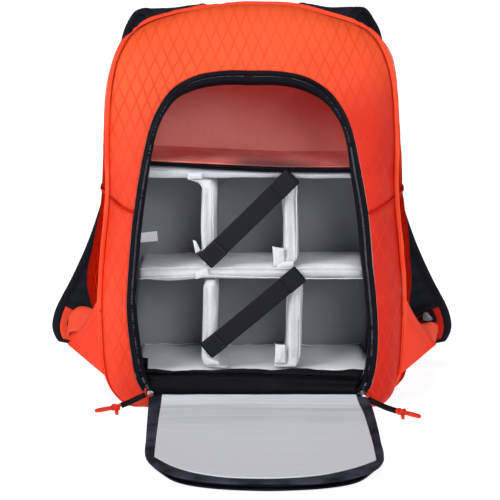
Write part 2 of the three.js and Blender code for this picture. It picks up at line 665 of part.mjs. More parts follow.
const openingLow = openingPoint(0);
const insertFloorTop = CLOTH + CLEARANCE * 2 + INSERT_BASE + INSERT_FLOOR;
const sillLine = SILL_LINE.map(({ back, up }) => [openingLow.y + back, openingLow.z + up]);
sillLine.push([INSERT_FRONT_Y - CLEARANCE - COVER, insertFloorTop + 1]);
add('opening_sill', stripAlongX(sillLine, COVER, -SILL_HALF_WIDTH, SILL_HALF_WIDTH), BLACK_CLOTH);

// Insert

const insertBackY = INSERT_FRONT_Y + INSERT_DEPTH;
const insertFoot = CLOTH + CLEARANCE;
const coverHalfWidth = INSERT_HALF_WIDTH + INSERT_WALL + CLEARANCE + COVER;
const coverTop = INSERT_TOP + INSERT_WALL + CLEARANCE + COVER;
const coverBackY = insertBackY + INSERT_WALL + CLEARANCE + COVER;
const hollowLow = insertFoot + INSERT_BASE;

const coverBlock = toManifold(
  extrudeAlongY(blockProfile(coverHalfWidth, insertFoot, coverTop, COVER_CORNER), INSERT_FRONT_Y, coverBackY));
const hollowHalfWidth = coverHalfWidth - COVER;
const hollowProfile = [
  [-hollowHalfWidth, hollowLow], [hollowHalfWidth, hollowLow],
  [hollowHalfWidth, coverTop - COVER], [-hollowHalfWidth, coverTop - COVER],
];
const coverHollow = toManifold(extrudeAlongY(hollowProfile, INSERT_FRONT_Y - CUT_PAST, coverBackY - COVER));
add('insert_cover', fromManifold(coverBlock.subtract(coverHollow)), BLACK_CLOTH);

// A grey padded wall in X and Z, from the front of the insert to some depth.
function insertWall(name, xFrom, xTo, zFrom, zTo, yFront = INSERT_FRONT_Y, yBack = insertBackY) {
  const profile = [[xFrom, zFrom], [xTo, zFrom], [xTo, zTo], [xFrom, zTo]];
  return add(name, extrudeAlongY(profile, yFront, yBack), GREY_FLEECE);
}

const padLow = hollowLow + CLEARANCE;
const outerWallX = INSERT_HALF_WIDTH + INSERT_WALL;
insertWall('insert_floor_pad', -outerWallX, outerWallX, padLow, insertFloorTop);
insertWall('insert_top_pad', -outerWallX, outerWallX, INSERT_TOP, INSERT_TOP + INSERT_WALL);
const sideLow = insertFloorTop + CLEARANCE;
const sideHigh = INSERT_TOP - CLEARANCE;
insertWall('insert_left_pad', -outerWallX, -INSERT_HALF_WIDTH, sideLow, sideHigh);
insertWall('insert_right_pad', INSERT_HALF_WIDTH, outerWallX, sideLow, sideHigh);
insertWall('insert_back_pad', -outerWallX, outerWallX, padLow, INSERT_TOP + INSERT_WALL,
  insertBackY + CLEARANCE, insertBackY + INSERT_WALL);

// Dividers
const dividerBackY = insertBackY - CLEARANCE;
const dividerFrontY = INSERT_FRONT_Y;
const shelfLow = SHELF_TOP - DIVIDER;
const shelfHalf = INSERT_HALF_WIDTH - CLEARANCE;

// The level divider has a rounded front edge, and its left part sags by a little.
function shelfSection(x, sag) {
  const round = DIVIDER * 0.28;
  const profile = [
    [dividerFrontY, shelfLow + round], [dividerFrontY + round, shelfLow], [dividerBackY, shelfLow],
    [dividerBackY, SHELF_TOP], [dividerFrontY + round, SHELF_TOP], [dividerFrontY, SHELF_TOP - round],
  ];
  return profile.map(([y, z]) => vec(x, y, z - sag));
}
add('divider_shelf', loft([
  shelfSection(-shelfHalf, SHELF_SAG), shelfSection(-shelfHalf * 0.72, SHELF_SAG),
  shelfSection(-shelfHalf * 0.42, 0), shelfSection(shelfHalf, 0),
]), GREY_FLEECE);

// An upright divider between two heights, with one end folded over into a flange.
function uprightDivider({ foot, head, folded, turn }, low, high) {
  const half = DIVIDER / 2;
  const atHead = folded === 'head';
  const sign = atHead ? 1 : -1;
  const [endX, end] = atHead ? [head, high] : [foot, low];
  const [startX, start] = atHead ? [foot, low] : [head, high];
  const level = (flanges) => end - sign * DIVIDER_FLANGE * flanges;
  const outline = [
    [startX - turn * half, start], [startX + turn * half, start],
    [endX + turn * half, level(2)], [endX + turn * half * 0.6, level(0.27)],
    [endX, end], [endX - turn * FLANGE_REACH, end],
    [endX - turn * FLANGE_REACH, level(1)], [endX - turn * half * 1.15, level(1.2)],
    [endX - turn * half, level(2)],
  ];
  const clockwise = THREE.ShapeUtils.isClockWise(outline.map(([x, z]) => new THREE.Vector2(x, z)));
  return extrudeAlongY(clockwise ? outline.reverse() : outline, dividerFrontY, dividerBackY);
}

const TIERS = {
  upper: { low: SHELF_TOP + CLEARANCE, high: INSERT_TOP - CLEARANCE },
  lower: { low: insertFloorTop + CLEARANCE, high: shelfLow - CLEARANCE - SHELF_SAG * 0.2 },
};
for (const divider of DIVIDERS) {
  const { low, high } = divider.upper ? TIERS.upper : TIERS.lower;
  add(divider.name, uprightDivider(divider, low, high), GREY_FLEECE);
}

// A flat strap laid slantwise across the fronts of the dividers.
function keeperStrap({ lowX, lowZ, highX, highZ }) {
  const start = vec(lowX, 0, lowZ);
  const end = vec(highX, 0, highZ);
  const run = end.clone().sub(start).normalize();
  const side = vec(-run.z, 0, run.x).multiplyScalar(KEEPER_WIDTH / 2);
  const back = INSERT_FRONT_Y - CLEARANCE;
  const sections = [0, 0.25, 0.5, 0.75, 1].map((share) => {
    const middle = along(start, end, share);
    const bow = KEEPER_BOW * 4 * share * (1 - share);
    return [[1, 0], [-1, 0], [-1, 1], [1, 1]].map(([width, depth]) => {
      const point = middle.clone().addScaledVector(side, width);
      point.y = back - bow - depth * KEEPER_THICK;
      return point;
    });
  });
  return loft(sections);
}
for (const keeper of KEEPERS) {
  add(keeper.name, keeperStrap(keeper), BLACK_CLOTH);
}

const labelLeft = -INSERT_HALF_WIDTH + CLEARANCE;
add('care_label', extrudeAlongY([
  [labelLeft, LABEL.low], [labelLeft + LABEL.width, LABEL.low + LABEL.tilt],
  [labelLeft + LABEL.width, LABEL.low + LABEL.tilt + LABEL.height], [labelLeft, LABEL.low + LABEL.height],
], LABEL.y, LABEL.y + LABEL.thick), WHITE_LABEL);

// Flap

const FLAP_STEPS = 2; // points of the outline for each row of its table

// Outline of the flap at a height, drawn in on all sides, and by less at the hinge.
function flapOutline(inset, z) {
  const last = (FLAP_OUTLINE.length - 1) * FLAP_STEPS;
  const right = Array.from({ length: last + 1 }, (_, i) => ({
    half: tableValue(FLAP_OUTLINE, 'half', i / FLAP_STEPS),
    share: Math.max(tableValue(FLAP_OUTLINE, 'along', i / FLAP_STEPS), 0),
  }));
  const left = right.slice(1, -1).reverse().map(({ half, share }) => ({ half: -half, share }));
  const rear = FLAP_REAR_Y - inset * HINGE_INSET;
  const near = FLAP_REAR_Y - FLAP_LENGTH + inset;
  return [...right, ...left].map(({ half, share }) => vec(
    half * (FLAP_HALF_WIDTH - inset) + FLAP_SHIFT + FLAP_SKEW * share,
    THREE.MathUtils.lerp(rear, near, share), z));
}

const shellTop = FLAP_SHELL;
add('flap_shell', loft([
  flapOutline(4, 0), flapOutline(0.6, 1), flapOutline(0.3, shellTop),
]), ORANGE);

// A ring round the flap with a section of insets and heights.
function flapRing(section) {
  const loops = section.map(([inset, z]) => flapOutline(inset, z));
  const count = loops[0].length;
  return loft(Array.from({ length: count }, (_, i) => loops.map((points) => points[i])), true);
}

const rimLow = shellTop + CLEARANCE;
const flapTop = rimLow + Math.max(...RIM_SECTION.map(({ up }) => up));
add('flap_rim', flapRing(RIM_SECTION.map(({ inset, up }) => [inset, rimLow + up])), BLACK_TAPE);
const liningEdge = RIM_WIDTH + CLEARANCE * 1.5;
add('flap_lining', loft([
  flapOutline(liningEdge, rimLow), flapOutline(liningEdge, flapTop - 2),
  flapOutline(liningEdge + 2.5, flapTop - 1), flapOutline(liningEdge + 25, flapTop - 0.4),
]), GREY_LINING);

// Second band of the zip, round the three free sides of the flap.
const tapeLoops = FLAP_TAPE_SECTION.map(({ out, up }) => flapOutline(-out, rimLow + up));
const tapeFrom = 4 * FLAP_STEPS;
const tapeTo = tapeLoops[0].length - tapeFrom;
const tapeSections = [];
for (let i = tapeFrom; i <= tapeTo; i += 1) tapeSections.push(tapeLoops.map((points) => points[i]));
add('flap_zip_tape', loft(tapeSections), BLACK_TAPE);

const hingeLine = [
  [FLAP_REAR_Y + CLEARANCE, rimLow + RIM_SECTION[1].up],
  [openingLow.y - HINGE_THICK * 3, openingLow.z + 0.6],
  [openingLow.y - CLEARANCE, openingLow.z + 1.7],
];
add('flap_hinge', stripAlongX(hingeLine, HINGE_THICK, HINGE_LEFT_X, HINGE_RIGHT_X), BLACK_TAPE);

// Shoulder straps

const STRAP_END = STRAP_PATH.length - 1; // last row of the strap's table

// Frame of the right shoulder strap at a fractional row of its table.
function strapFrame(at) {
  const place = (row) => vec(
    BACK_HALF_WIDTH * tableValue(STRAP_PATH, 'x', row),
    padBackY + STRAP_THICK * tableValue(STRAP_PATH, 'back', row),
    BAG_HEIGHT * tableValue(STRAP_PATH, 'z', row));
  const run = place(Math.min(at + 0.3, STRAP_END)).sub(place(Math.max(at - 0.3, 0))).normalize();
  const level = vec(1, 0, -tableValue(STRAP_PATH, 'lean', at));
  const upright = vec(run.x, 0, run.z);
  const across = level.addScaledVector(upright, -level.dot(upright)).normalize();
  const out = run.clone().cross(across).normalize();
  return { middle: place(at), across, out, wide: STRAP_WIDTH * tableValue(STRAP_PATH, 'wide', at) };
}

// Sections of the strap, or of something laid on its inner face, drawn in from its edges.
function strapSections({ from, to, step }, inset, low, high) {
  const sections = [];
  const bevel = (high - low) * 0.3;
  for (let at = from; at <= to + 1e-6; at += step) {
    const { middle, across, out, wide } = strapFrame(at);
    const half = wide / 2 - inset;
    const profile = [
      [half, low + bevel], [half, high - bevel], [half - bevel, high], [-half + bevel, high],
      [-half, high - bevel], [-half, low + bevel], [-half + bevel, low], [half - bevel, low],
    ];
    sections.push(profile.map(
      ([width, depth]) => middle.clone().addScaledVector(across, width).addScaledVector(out, depth)));
  }
  return sections;
}

const strapFace = STRAP_THICK / 2;
const strapRows = { from: 0, to: STRAP_END, step: 0.5 };
addPair('shoulder_strap', loft(strapSections(strapRows, 0, -strapFace, strapFace)), BLACK_MESH);

const patchLow = strapFace + CLEARANCE * 3;
const patchRows = { from: STRAP_END - PATCH_ROWS.start, to: STRAP_END - PATCH_ROWS.end, step: 0.5 };
addPair('strap_patch', loft(strapSections(patchRows, PATCH_INSET, patchLow, patchLow + PATCH_THICK)), ORANGE);

// Ladder lock: a frame with two slots and cut corners, laid on the end of the strap.
function ladderLock() {
  const { width, height, thick, slot, bar, corner } = LOCK;
  const [x, y] = [width / 2, height / 2];
  const shape = new THREE.Shape([
    [-x + corner, -y], [x - corner, -y], [x, -y + corner], [x, y - corner],
    [x - corner, y], [-x + corner, y], [-x, y - corner], [-x, -y + corner],
  ].map(([px, py]) => new THREE.Vector2(px, py)));
  const reach = WEBBING_WIDTH / 2 + 1;
  for (const middle of [-(slot + bar) / 2, (slot + bar) / 2]) {
    const [low, high] = [middle - slot / 2, middle + slot / 2];
    const hole = [[-reach, low], [-reach, high], [reach, high], [reach, low]];
    shape.holes.push(new THREE.Path(hole.map(([px, py]) => new THREE.Vector2(px, py))));
  }
  const geometry = new THREE.ExtrudeGeometry(shape, { depth: thick, bevelEnabled: false });
  const { middle, across, out } = strapFrame(STRAP_END - LOCK_ROW);
  const up = out.clone().cross(across).normalize();
  const seat = middle.clone().addScaledVector(out, patchLow + PATCH_THICK + CLEARANCE * 3);
  return geometry.applyMatrix4(new THREE.Matrix4().makeBasis(across, up, out).setPosition(seat));
}

// A flat band along a table of places, with its width turned by lean.
function webbing() {
  const rows = WEBBING_PATH.length - 1;
  const place = (at) => vec(
    BACK_HALF_WIDTH * tableValue(WEBBING_PATH, 'x', at), tableValue(WEBBING_PATH, 'y', at),
    BAG_HEIGHT * tableValue(WEBBING_PATH, 'z', at));
  const front = [];
  const back = [];
  for (let at = 0; at <= rows; at += 0.5) {
    const run = place(Math.min(at + 0.2, rows)).sub(place(Math.max(at - 0.2, 0))).normalize();
    const lean = tableValue(WEBBING_PATH, 'lean', at);
    const upright = vec(lean, 0, 1);
    const wide = upright.addScaledVector(run, -upright.dot(run)).setLength(WEBBING_WIDTH / 2);
    const thick = run.clone().cross(wide).setLength(WEBBING_THICK / 2);
    front.push([1, 0, -1].map((edge) => place(at).addScaledVector(wide, edge).add(thick)));
    back.push([1, 0, -1].map((edge) => place(at).addScaledVector(wide, edge).sub(thick)));
  }
  return slab(front, back);
}

// Side wing: a triangular sheet from the front seam out to the webbing.
function wing() {
  const { high: highStation, low: lowStation, rows, columns } = WING_GRID;
  const [high, low] = WING_OUTER;
  const outer = [];
  const inner = [];
  for (let r = 0; r <= rows; r += 1) {
    const share = r / rows;
    const mix = (key) => THREE.MathUtils.lerp(high[key], low[key], share);
    const tip = vec(SEAM_HALF_WIDTH * mix('x'), mix('y'), BAG_HEIGHT * mix('z'));
    const near = seamPoint(THREE.MathUtils.lerp(highStation, lowStation, share));
    near.x += CLEARANCE * 2.8;
    const face = vec(tip.y - near.y, near.x - tip.x, 0).normalize();
    outer.push([]);
    inner.push([]);
    for (let c = 0; c <= columns; c += 1) {
      const out = c / columns;
      const point = along(near, tip, out);
      point.x += WING_BELLY * 4 * out * (1 - out) * Math.sin(Math.PI * share);
      outer[r].push(point.clone().addScaledVector(face, WING_THICK));
      inner[r].push(point);
    }
  }
  return slab(outer, inner);
}

addPair('ladder_lock', ladderLock(), GREY_PLASTIC);
addPair('strap_webbing', webbing(), ORANGE_WEBBING);
addPair('side_wing', wing(), ORANGE);

// Zip sliders and their pulls

const PULL_SIDES = 8; // sides of a round section

// A round or flattened section about a point of a run.
function ringSection(middle, run, radius, flat = 1) {
  const across = vec(0, 0, 1).cross(run).normalize();
  const up = run.clone().cross(across).normalize();
  return Array.from({ length: PULL_SIDES }, (_, i) => {
    const angle = (2 * Math.PI * i) / PULL_SIDES;
    return middle.clone()
      .addScaledVector(across, radius * Math.cos(angle))
      .addScaledVector(up, radius * flat * Math.sin(angle));
  });
}

function pullCord(route) {
  const section = new THREE.Shape(Array.from({ length: PULL_SIDES }, (_, i) => {
    const angle = (2 * Math.PI * i) / PULL_SIDES;
    return new THREE.Vector2(Math.cos(angle), Math.sin(angle)).multiplyScalar(PULL_CORD / 2);
  }));
  return new THREE.ExtrudeGeometry(section, { steps: PULL_SIDES, bevelEnabled: false, extrudePath: route });
}

// Rubber tube threaded on the cord.
function pullSleeve(route) {
  const rows = [0.14, 0.36, 0.6, 0.82].map((share) => [route.getPointAt(share), route.getTangentAt(share)]);
  const [outer, inner] = [SLEEVE_OUTER, SLEEVE_INNER].map((size) => rows.map(
    ([middle, run]) => ringSection(middle, run, size / 2)));
  return slab(outer, inner, true);
}

// The knot at the end of the cord, with its tail flat on the floor.
function pullKnot(route, tailEnd) {
  const leaving = route.getTangentAt(1);
  const start = route.getPointAt(1).addScaledVector(leaving, CLEARANCE);
  const tailRun = tailEnd.clone().sub(start).normalize();
  return loft(KNOT_ROWS.map(({ along: share, wide, flat }) => {
    const middle = along(start, tailEnd, share);
    const radius = (KNOT * wide) / 2;
    middle.z = Math.max(middle.z, radius * flat * 1.01);
    const run = leaving.clone().lerp(tailRun, Math.min(share * 5, 1));
    return ringSection(middle, run, radius, flat);
  }));
}

// The slider sits on the end of the zip's coil, and its puller reaches out to the end of the cord.
function zipSlider(seat, cordStart) {
  const puller = vec(cordStart.x - Math.sign(cordStart.x) * SLIDER.clear, cordStart.y - SLIDER.past, cordStart.z);
  return loft([seat, puller].map((middle) => SLIDER_SECTION.map(
    ({ across, up }) => vec(middle.x + across * SLIDER.width, middle.y, middle.z + up))));
}

for (const side of ['left', 'right']) {
  const points = PULL_ROUTES[side].map(([x, y, z]) => vec(x, y, z));
  const route = new THREE.CatmullRomCurve3(points);
  add(`zip_pull_cord_${side}`, pullCord(route), ORANGE_CORD);
  add(`zip_pull_sleeve_${side}`, pullSleeve(route), BLACK_RUBBER);
  add(`zip_pull_knot_${side}`, pullKnot(route, vec(...PULL_TAILS[side])), ORANGE_CORD);
  const column = side === 'left' ? EDGING_TO : EDGING_FROM;
  const seat = edgingPoint(column, TAPE_WIDTH * 0.6, TAPE_DROP - COIL_HEIGHT - CLEARANCE);
  add(`zip_slider_${side}`, zipSlider(seat, points[0]), STEEL);
}

export default bag;
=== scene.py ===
"""Camera backpack with its front flap open on the floor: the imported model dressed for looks.

Lengths are in metres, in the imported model's own frame: the bag faces -Y and stands on z = 0.
"""
import math

import bmesh
import bpy
import numpy as np
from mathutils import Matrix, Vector, noise
from mathutils.bvhtree import BVHTree
from mathutils.kdtree import KDTree


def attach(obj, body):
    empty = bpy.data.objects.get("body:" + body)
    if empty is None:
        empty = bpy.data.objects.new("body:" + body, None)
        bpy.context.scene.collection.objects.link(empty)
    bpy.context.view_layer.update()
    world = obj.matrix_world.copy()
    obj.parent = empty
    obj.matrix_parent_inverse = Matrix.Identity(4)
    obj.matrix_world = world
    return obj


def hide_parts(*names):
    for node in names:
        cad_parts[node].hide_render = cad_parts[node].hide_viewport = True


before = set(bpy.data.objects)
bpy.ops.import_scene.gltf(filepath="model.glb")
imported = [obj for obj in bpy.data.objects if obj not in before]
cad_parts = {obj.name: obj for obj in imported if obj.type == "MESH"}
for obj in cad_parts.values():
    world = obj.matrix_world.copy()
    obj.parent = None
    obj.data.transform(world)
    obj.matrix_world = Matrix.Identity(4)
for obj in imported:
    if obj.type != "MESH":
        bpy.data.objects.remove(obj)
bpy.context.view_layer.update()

# Camera: the photograph looks down on the bag a little, from far away
CAMERA_PLACE = (-0.00215, -2.689, 0.6223)
CAMERA_PITCH = 80.21  # degrees from straight down
CAMERA_LENS = 178.9  # millimetres, on a sensor 36 mm wide

# Zip pulls
PULL_CORD = 0.003  # diameter

PULL_ROUTES = {
    "left": [
        (-0.114, -0.0916, 0.019), (-0.1162, -0.0923, 0.0182), (-0.1183, -0.0926, 0.0171),
        (-0.1204, -0.0926, 0.0159), (-0.1224, -0.0923, 0.0147), (-0.1244, -0.0918, 0.0135),
        (-0.1265, -0.0913, 0.0123), (-0.1285, -0.0909, 0.0111), (-0.1306, -0.0904, 0.0099),
        (-0.1326, -0.09, 0.0088), (-0.1347, -0.0897, 0.0077), (-0.1369, -0.0895, 0.0067),
        (-0.1391, -0.0895, 0.0058), (-0.1414, -0.09, 0.0051), (-0.1436, -0.0908, 0.0046),
    ],
    "right": [
        (0.121, -0.0916, 0.013), (0.1232, -0.0929, 0.012), (0.1253, -0.0942, 0.0111),
        (0.1274, -0.0956, 0.0102), (0.1295, -0.0971, 0.0094), (0.1316, -0.0986, 0.0086),
        (0.1337, -0.1001, 0.0079), (0.1358, -0.1017, 0.0073), (0.1378, -0.1033, 0.0067),
        (0.1399, -0.1049, 0.0062), (0.142, -0.1066, 0.0057), (0.144, -0.1083, 0.0053),
        (0.146, -0.1101, 0.005), (0.148, -0.1118, 0.0047), (0.15, -0.1136, 0.0046),
    ],
}

# Colours, as they look on the screen
COLOURS = {
    "orange": (230, 68, 40),
    "orange_pale": (236, 78, 50),
    "orange_deep": (190, 34, 18),
    "orange_dark": (150, 18, 8),
    "lining_red": (226, 52, 40),
    "lining_pale": (240, 146, 138),
    "black": (14, 14, 20),
    # Mauve grey of the black insert cover: its tint is a painted reflection of the red lining, and the
    # lining's slack uses it as painted shade
    "cover": (70, 58, 66),
    "black_light": (34, 35, 45),
    "jet": (9, 9, 15),
    "jet_light": (19, 20, 30),
    "orange_line": (206, 44, 16),
    # Painted highlight on the front, high up
    "orange_painted_highlight": (232, 88, 48),
    "orange_shadow": (124, 8, 4),
    "wing": (234, 58, 28),
    "wing_shade": (222, 46, 22),
    # Painted pale highlight high on the sides
    "pink_painted_highlight": (240, 150, 136),
    "thread_grey": (88, 89, 102),
    "fleece": (234, 235, 240),
    "fleece_shade": (176, 177, 187),
    # Greys of the side and back pads, darker than the fleece: partly their own grey and partly painted shade
    # deep in the compartments
    "wall": (156, 156, 166),
    "wall_shade": (134, 134, 144),
    "satin": (214, 216, 223),
    "satin_shade": (192, 194, 202),
    "white": (246, 246, 250),
    "grey_plastic": (118, 122, 130),
    "steel": (190, 192, 198),
}


def linear(name):
    """A named colour as linear light, with alpha."""
    return tuple((value / 255) ** 2.2 for value in COLOURS[name]) + (1.0,)


# Materials


class Material:
    """A node material, with a short call for each kind of node that the finishes share."""

    def __init__(self, name, roughness, sheen=0.0, metallic=0.0, specular=0.15):
        self.data = bpy.data.materials.new(name)
        self.data.use_nodes = True
        self.tree = self.data.node_tree
        self.shader = self.tree.nodes["Principled BSDF"]
        self.shader.inputs["Roughness"].default_value = roughness
        self.shader.inputs["Metallic"].default_value = metallic
        self.shader.inputs["Specular IOR Level"].default_value = specular
        self.shader.inputs["Sheen Weight"].default_value = sheen
        self.height = None
        self.place = self.node("TexCoord").outputs["Object"]
        self.flat = self.node("TexCoord").outputs["UV"]

    def node(self, kind, inputs=None, **settings):
        made = self.tree.nodes.new("ShaderNode" + kind)
        for key, value in settings.items():
            setattr(made, key, value)
        for key, value in (inputs or {}).items():
            self.feed(made.inputs[key], value)
        return made

    def feed(self, socket, value):
        if isinstance(value, bpy.types.NodeSocket):
            self.tree.links.new(value, socket)
        else:
            socket.default_value = value

    def math(self, operation, first, second=0.0):
        return self.node("Math", {0: first, 1: second}, operation=operation).outputs[0]

    def ramp(self, value, low, high, low_to=0.0, high_to=1.0):
        """The value taken from one range to another, smoothly and within it."""
        mapped = {"Value": value, "From Min": low, "From Max": high, "To Min": low_to, "To Max": high_to}
        return self.node("MapRange", mapped, interpolation_type="SMOOTHSTEP").outputs[0]

    def clouds(self, size, detail=2.0, place=None, stretch=(1, 1, 1)):
        """Noise from 0 to 1, whose patches are about this size."""
        scaled = self.node("Mapping", {"Vector": place or self.place, "Scale": stretch})
        cells = {"Vector": scaled.outputs[0], "Scale": 1 / size, "Detail": detail}
        return self.node("TexNoise", cells).outputs[0]

    def blend(self, share, first, second):
        """A colour between two others."""
        mixed = self.node("Mix", data_type="RGBA", blend_type="MIX")
        self.feed(mixed.inputs[0], share)
        self.feed(mixed.inputs[6], first if isinstance(first, bpy.types.NodeSocket) else linear(first))
        self.feed(mixed.inputs[7], second if isinstance(second, bpy.types.NodeSocket) else linear(second))
        return mixed.outputs[2]

    def colour(self, value):
        self.feed(self.shader.inputs["Base Color"], value)

    def bump(self, height, depth):
        """Adds relief, this deep where the height is 1."""
        made = {"Height": height, "Distance": depth, "Strength": 1.0}
        if self.height is not None:
            made["Normal"] = self.height
        self.height = self.node("Bump", made).outputs[0]
        self.feed(self.shader.inputs["Normal"], self.height)

    def stripes(self, coordinate, pitch, width):
        """1 on thin lines this far apart and 0 between them."""
        phase = self.math("FRACT", self.math("DIVIDE", coordinate, pitch))
        away = self.math("ABSOLUTE", self.math("SUBTRACT", phase, 0.5))
        return self.ramp(away, 0.0, width / pitch, 1.0, 0.0)

    def axes(self, vector):
        split = self.node("SeparateXYZ", {0: vector})
        return split.outputs[0], split.outputs[1], split.outputs[2]

    def weave(self, pitch, depth, vector=None):
        """Fine threads one over another."""
        across, along, _ = self.axes(vector or self.flat)
        turn = 2 * math.pi / pitch
        waves = [self.math("SINE", self.math("MULTIPLY", axis, turn)) for axis in (across, along)]
        self.bump(self.math("MULTIPLY", waves[0], waves[1]), depth)


PAD_PRESSURE = 4.0
PAD_FRAMES = 20
DIAMOND_WIDE = 0.0129
DIAMOND_TALL = 0.030


def ripstop(name, light, dark, tint=0.0, aside=0.0, painted_highlight=0.0, behind=0.0):
    """Coated cloth with diamonds woven in. Its shares paint light and shade into its colour: painted shade to
    the right and low down (aside), a painted highlight high up (haze) and painted shadow towards the back
    (behind), with a painted pale highlight high up there."""
    made = Material(name, roughness=0.5, specular=0.0 if behind else 0.2)
    across, along, _ = made.axes(made.flat)
    slants = []
    for sign in (1, -1):
        share = made.math("MULTIPLY", along, sign * DIAMOND_WIDE / DIAMOND_TALL)
        slants.append(made.stripes(made.math("ADD", across, share), DIAMOND_WIDE, 0.002))
    x, y, z = made.axes(made.place)
    worn = made.ramp(made.clouds(0.06, 2.0), 0.3, 0.65, 0.45, 1.0)
    lines = made.math("MULTIPLY", made.math("MAXIMUM", *slants), worn)
    patches = made.ramp(made.clouds(0.05, 3.0), 0.3, 0.75, 0.0, 0.35)
    # Painted shade: darker to the right, less so high up, and darker near the bottom.
    if aside:
        to_right = made.ramp(x, 0.02, 0.14, 0.0, aside)
        shade_to_right = made.math("MULTIPLY", to_right, made.ramp(z, 0.29, 0.4, 1.0, 0.15))
        low = made.ramp(z, 0.0, 0.11, 0.55, 0.0)
        patches = made.math("ADD", made.math("ADD", patches, shade_to_right), low)
    ground = made.blend(made.math("ADD", patches, tint), light, dark)
    # Painted highlight: paler high up and towards the left.
    if painted_highlight:
        slope = made.math("SUBTRACT", z, made.math("MULTIPLY", x, 0.25))
        ground = made.blend(made.ramp(slope, 0.26, 0.4, 0.0, painted_highlight), ground, "orange_painted_highlight")
    # Painted shadow towards the back low down, and a painted pale highlight towards the back high up.
    if behind:
        uneven = made.math("ADD", y, made.math("MULTIPLY", made.clouds(0.03), 0.01))
        depth = made.ramp(uneven, -0.044, -0.032)
        low = made.math("MULTIPLY", depth, made.ramp(z, 0.22, 0.3, behind, 0.0))
        ground = made.blend(low, ground, "orange_shadow")
        high = made.math("MULTIPLY", depth, made.ramp(z, 0.28, 0.36, 0.0, 0.8))
        ground = made.blend(high, ground, "pink_painted_highlight")
    strong = made.math("MULTIPLY", lines, made.ramp(z, 0.3, 0.4, 0.75, 0.42))
    made.colour(made.blend(strong, ground, "orange_line"))
    made.bump(lines, 0.0002)
    made.bump(made.clouds(0.006, 3.0), 0.0003)
    made.weave(0.0009, 0.00006)
    return made.data


def plain_cloth(name, light, dark, roughness=0.6, pitch=0.0012, depth=0.00008, patch=0.03, specular=0.12):
    made = Material(name, roughness=roughness, specular=specular)
    made.colour(made.blend(made.ramp(made.clouds(patch, 3.0), 0.3, 0.75, 0.0, 0.5), light, dark))
    made.bump(made.clouds(0.008, 3.0), 0.0004)
    made.weave(pitch, depth, made.place)
    return made.data


def fleece(name, light, dark, darker=0.45):
    """Brushed loops, deep enough to catch the light."""
    made = Material(name, roughness=0.95, sheen=0.1, specular=0.05)
    nap = made.clouds(0.0016, 4.0)
    worn = made.clouds(0.02, 3.0)
    made.colour(made.blend(made.math("MULTIPLY", made.math("ADD", nap, worn), darker), light, dark))
    made.bump(nap, 0.0006)
    made.bump(worn, 0.0012)
    return made.data


def spacer_mesh(name, light, dark):
    """Padded mesh: small round holes in staggered rows."""
    made = Material(name, roughness=0.85, specular=0.1)
    cells = {"Vector": made.place, "Scale": 1 / 0.0028, "Randomness": 0.15}
    holes = made.ramp(made.node("TexVoronoi", cells).outputs["Distance"], 0.15, 0.4)
    made.colour(made.blend(holes, dark, light))
    made.bump(holes, 0.0005)
    return made.data


def ribbed(name, light, dark, pitch, depth, roughness=0.55):
    """Tape or webbing: ribs across the run, with a slight twill."""
    made = Material(name, roughness=roughness, specular=0.1)
    across, along, _ = made.axes(made.flat)
    ribs = made.math("SINE", made.math("MULTIPLY", along, 2 * math.pi / pitch))
    shade = made.ramp(made.math("ADD", ribs, made.clouds(0.01)), -0.4, 1.6, 0.0, 0.8)
    made.colour(made.blend(shade, dark, light))
    made.bump(ribs, depth)
    made.bump(made.clouds(0.004, 3.0), 0.0002)
    return made.data


def twill(name, light, dark):
    """Tape with fine slanting threads."""
    made = Material(name, roughness=0.55, specular=0.2)
    across, _, along = made.axes(made.place)
    slant = made.math("ADD", across, made.math("MULTIPLY", along, 0.6))
    threads = made.math("SINE", made.math("MULTIPLY", slant, 2 * math.pi / 0.0014))
    worn = made.clouds(0.012, 3.0)
    made.colour(made.blend(made.ramp(made.math("ADD", threads, worn), -0.5, 1.8, 0.0, 0.9), dark, light))
    made.bump(threads, 0.0001)
    return made.data


def satin(name, light, dark):
    """Coated lining with faint wrinkles across, most of them near the hinge, painted darker along the
    wrinkles as their shade.
    """
    made = Material(name, roughness=0.42, specular=0.2)
    _, along, _ = made.axes(made.place)
    wrinkles = made.clouds(0.02, 2.0, stretch=(0.12, 2.2, 1))
    near = made.ramp(along, -0.26, -0.12, 0.15, 1.0)
    made.colour(made.blend(made.math("MULTIPLY", made.ramp(wrinkles, 0.35, 0.75), near), light, dark))
    made.bump(made.math("MULTIPLY", wrinkles, near), 0.001)
    made.weave(0.001, 0.00002, made.place)
    return made.data


def coated(name, high, low):
    """The red inside of the back: clear red high up, greyer where light glances off it lower down."""
    made = Material(name, roughness=0.42, specular=0.25)
    across, _, rise = made.axes(made.place)
    slope = made.math("ADD", rise, made.math("MULTIPLY", across, 0.25))
    patches = made.math("MULTIPLY", made.clouds(0.05, 3.0), 0.03)
    share = made.ramp(made.math("ADD", slope, patches), 0.285, 0.365)
    made.colour(made.blend(share, low, high))
    made.bump(made.clouds(0.03, 3.0, stretch=(1, 1, 0.5)), 0.003)
    made.weave(0.0012, 0.00005, made.place)
    return made.data


